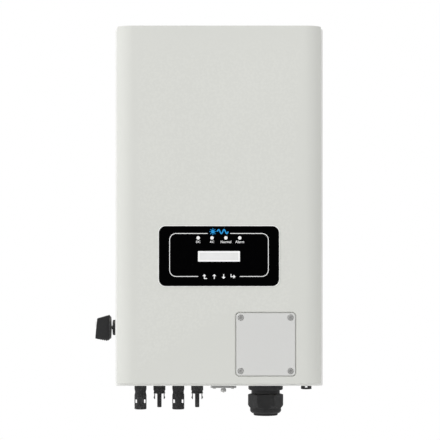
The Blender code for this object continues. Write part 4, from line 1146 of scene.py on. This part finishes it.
def make_gland():
    """Cable gland: flanged body with its thread, hexagon nut with a domed end, and rubber insert."""
    x = middle("gland_body").x
    body = [(19.7, 14), (19.7, -0.3), (26.9, -0.3), (27.5, -0.6), (27.7, -1.2), (27.7, -6.6), (27.3, -7.5),
            (26.4, -8.2), (23.2, -8.2), (22.85, -8.5), (22.85, -14.0), (22.5, -14.4), (20.8, -14.9)]
    for turn_number in range(8):
        height = -15.5 - 2.0 * turn_number
        body += [(20.8, height), (20.8, height - 0.5), (20.0, height - 1.0), (20.0, height - 1.5)]
    body += [(20.8, -31.6), (20.4, -32), (15.4, -32), (15, -31.6), (15, 13.6), (15.4, 14)]
    shell = hanging("gland_body_fine", body, x, 72, True)
    fit(smooth(shell, 35), "root", "black_nylon", GLAND_NYLON, "gland_body")

    top = -14.9
    low = -36.9
    bpy.ops.object.select_all(action="DESELECT")
    bpy.ops.mesh.primitive_cylinder_add(vertices=6, radius=28.55 * MM, depth=(top - low + 10) * MM,
                                        location=(x, PORT_Y, UNDER + (low - 10 + top) / 2 * MM))
    nut = named("gland_nut_fine")
    nut.rotation_euler.z = math.pi / 6
    settle(nut)
    with editing(nut):
        bevel(nut, runs_along(2), 1.2 * MM, 4)
    shape = [(24.6, top + 0.1), (28.3, top - 0.9), (28.6, top - 2.0), (28.6, low + 4.8), (26.6, low + 1.6),
             (24.9, low - 0.2), (24.6, low - 0.8), (24.7, low - 1.2), (24.95, low - 2.0), (24.95, low - 4.4),
             (24.5, low - 5.8), (23.6, low - 7.0), (22.4, low - 8.0), (21.2, low - 8.6), (20.9, low - 8.6),
             (20.2, low - 8.0), (20.2, -33.5), (21.2, -33.5), (21.2, top + 0.1)]
    envelope = hanging("envelope", shape, x, 96, True)
    modify(nut, "BOOLEAN", operation="INTERSECT", object=envelope)
    bpy.data.objects.remove(envelope)
    fit(soften(nut, 0.3 * MM, 2, 25), "gland_nut", "black_nylon", GLAND_NYLON, "gland_nut")

    rings = [(19.8, -32.5), (19.8, -45.3), (19.5, -46.2), (19.5, -47.6), (19.2, -48.5), (18.6, -49),
             (15.6, -49), (15.2, -48.6), (14.8, -48.6), (14.4, -49), (13.4, -49), (13, -48.6), (13, -32.5)]
    insert = hanging("gland_insert_fine", rings, x, 72, True)
    fit(smooth(insert, 35), "gland_insert", "seal_rubber", RUBBER, "gland_insert")


def make_vent():
    """Round breather with windows through its ribbed cap."""
    x = middle("vent_valve").x
    profile = [(0, 9), (5.7, 9), (5.7, -0.3), (8.3, -0.3), (8.65, -0.7), (8.65, -6.0), (8.3, -6.8),
               (7.5, -7.2), (4.2, -7.2), (3.9, -6.9), (0, -6.9)]
    vent = hanging("vent_valve_fine", profile, x, 64)
    hole = (x, PORT_Y, UNDER - 3.7 * MM)
    carve(vent, plate("window", *around(hole, (4.6 * MM, 30 * MM, 3.3 * MM)), 1.0 * MM, 1, 4))
    carve(vent, plate("window", *around(hole, (30 * MM, 4.6 * MM, 3.3 * MM)), 1.0 * MM, 0, 4))
    fit(soften(vent, 0.2 * MM, 2, 35), "root", "black_nylon", NYLON, "vent_valve")


# Pieces that keep their CAD shape get the finish of their own slot.
INSIDE = {
    "housing_gasket": RUBBER, "ac_cover_gasket": RUBBER, "ac_terminal_block": DARK_CASE,
    "dc_switch_body": DARK_CASE, "gland_locknut": GLAND_NYLON, "lcd_module": DARK_CASE,
    "display_board": BOARD, "power_board": BOARD, "control_board": BOARD, "power_module": DARK_CASE,
    "capacitor_bank": DARK_CASE, "boost_inductors": DARK_CASE, "filter_inductors": DARK_CASE,
    "pv_pin_1": TINNED, "pv_pin_2": TINNED,
}


def finish_inside():
    """Give every CAD node that stays its finish."""
    for node, material in INSIDE.items():
        for slot in NODES[node].material_slots:
            slot.material = material


# Camera, light and floor.

def make_camera():
    """Long lens straight in front, level with the middle of the inverter and its knob."""
    bpy.ops.object.camera_add(location=(1.6 * MM, -3.622, -0.150), rotation=(math.pi / 2, 0, 0))
    camera = bpy.context.active_object
    camera.name = "front_camera"
    camera.data.sensor_width = 36
    camera.data.lens = 36 * 3.4 / 0.6831
    camera.data.clip_end = 50
    bpy.context.scene.camera = camera


def make_light():
    """White studio round the inverter, stronger from its left, with a dark gap behind the camera."""
    bpy.context.scene.view_settings.view_transform = "Standard"
    world = bpy.data.worlds.new("white_studio")
    bpy.context.scene.world = world
    world.use_nodes = True
    tree = world.node_tree
    tree.nodes.clear()
    split = add(tree, "SeparateXYZ", Vector=add(tree, "TexCoord").outputs["Generated"])
    sideways = times(tree, split.outputs["X"], -0.29)
    forward = times(tree, split.outputs["Y"], -0.36)
    even = plus(tree, plus(tree, sideways, forward), 1.01)
    gap = between(tree, split.outputs["Y"], -0.86, -0.93)
    lit = times(tree, even, maths(tree, "SUBTRACT", 1.0, times(tree, gap, 0.93)))
    seen = add(tree, "LightPath").outputs["Is Camera Ray"]
    grey = add(tree, "CombineXYZ", X=lit, Y=lit, Z=lit)
    colour = colours(tree, seen, grey.outputs[0], (1, 1, 1, 1))
    background = add(tree, "Background", Color=colour)
    shown = add(tree, "OutputWorld")
    tree.links.new(background.outputs[0], shown.inputs["Surface"])
    bpy.ops.object.light_add(type="SUN", rotation=(math.radians(38), 0, math.radians(-32)))
    lamp = bpy.context.active_object
    lamp.name = "soft_key"
    lamp.data.energy = 0.35
    lamp.data.angle = math.radians(25)


def make_floor():
    """Pale round floor, well below the inverter, seen only from above."""
    bpy.ops.object.select_all(action="DESELECT")
    bpy.ops.mesh.primitive_circle_add(vertices=128, radius=1.6, fill_type="NGON", location=(0, -0.1, -0.95))
    floor = named("studio_floor")
    settle(floor)
    material, tree, shader = finish("pale_floor", IOR=1.4)
    skin = grained(tree, 300.0, 0.02, 2.0, (0.7, 0.8))
    tone = colours(tree, skin["Tone"], (0.9, 0.9, 0.89, 1), (0.93, 0.93, 0.92, 1))
    surface(tree, shader, tone, skin["Roughness"], skin["Normal"])
    below = add(tree, "MixShader")
    tree.links.new(add(tree, "NewGeometry").outputs["Backfacing"], below.inputs[0])
    tree.links.new(tree.nodes["Principled BSDF"].outputs[0], below.inputs[1])
    tree.links.new(add(tree, "BsdfTransparent").outputs[0], below.inputs[2])
    tree.links.new(below.outputs[0], tree.nodes["Material Output"].inputs["Surface"])
    floor.data.materials.append(material)


make_front_cover()
make_rear_housing()
make_back()
make_panel()
make_window()
make_lights()
make_keys()
make_outline()
make_panel_highlight_ring()
make_emblem()
make_labels()
make_plate()
make_screws()
make_switch()
make_sockets()
make_plugs()
make_comm_port()
make_gland()
make_vent()
finish_inside()
make_camera()
make_light()
make_floor()
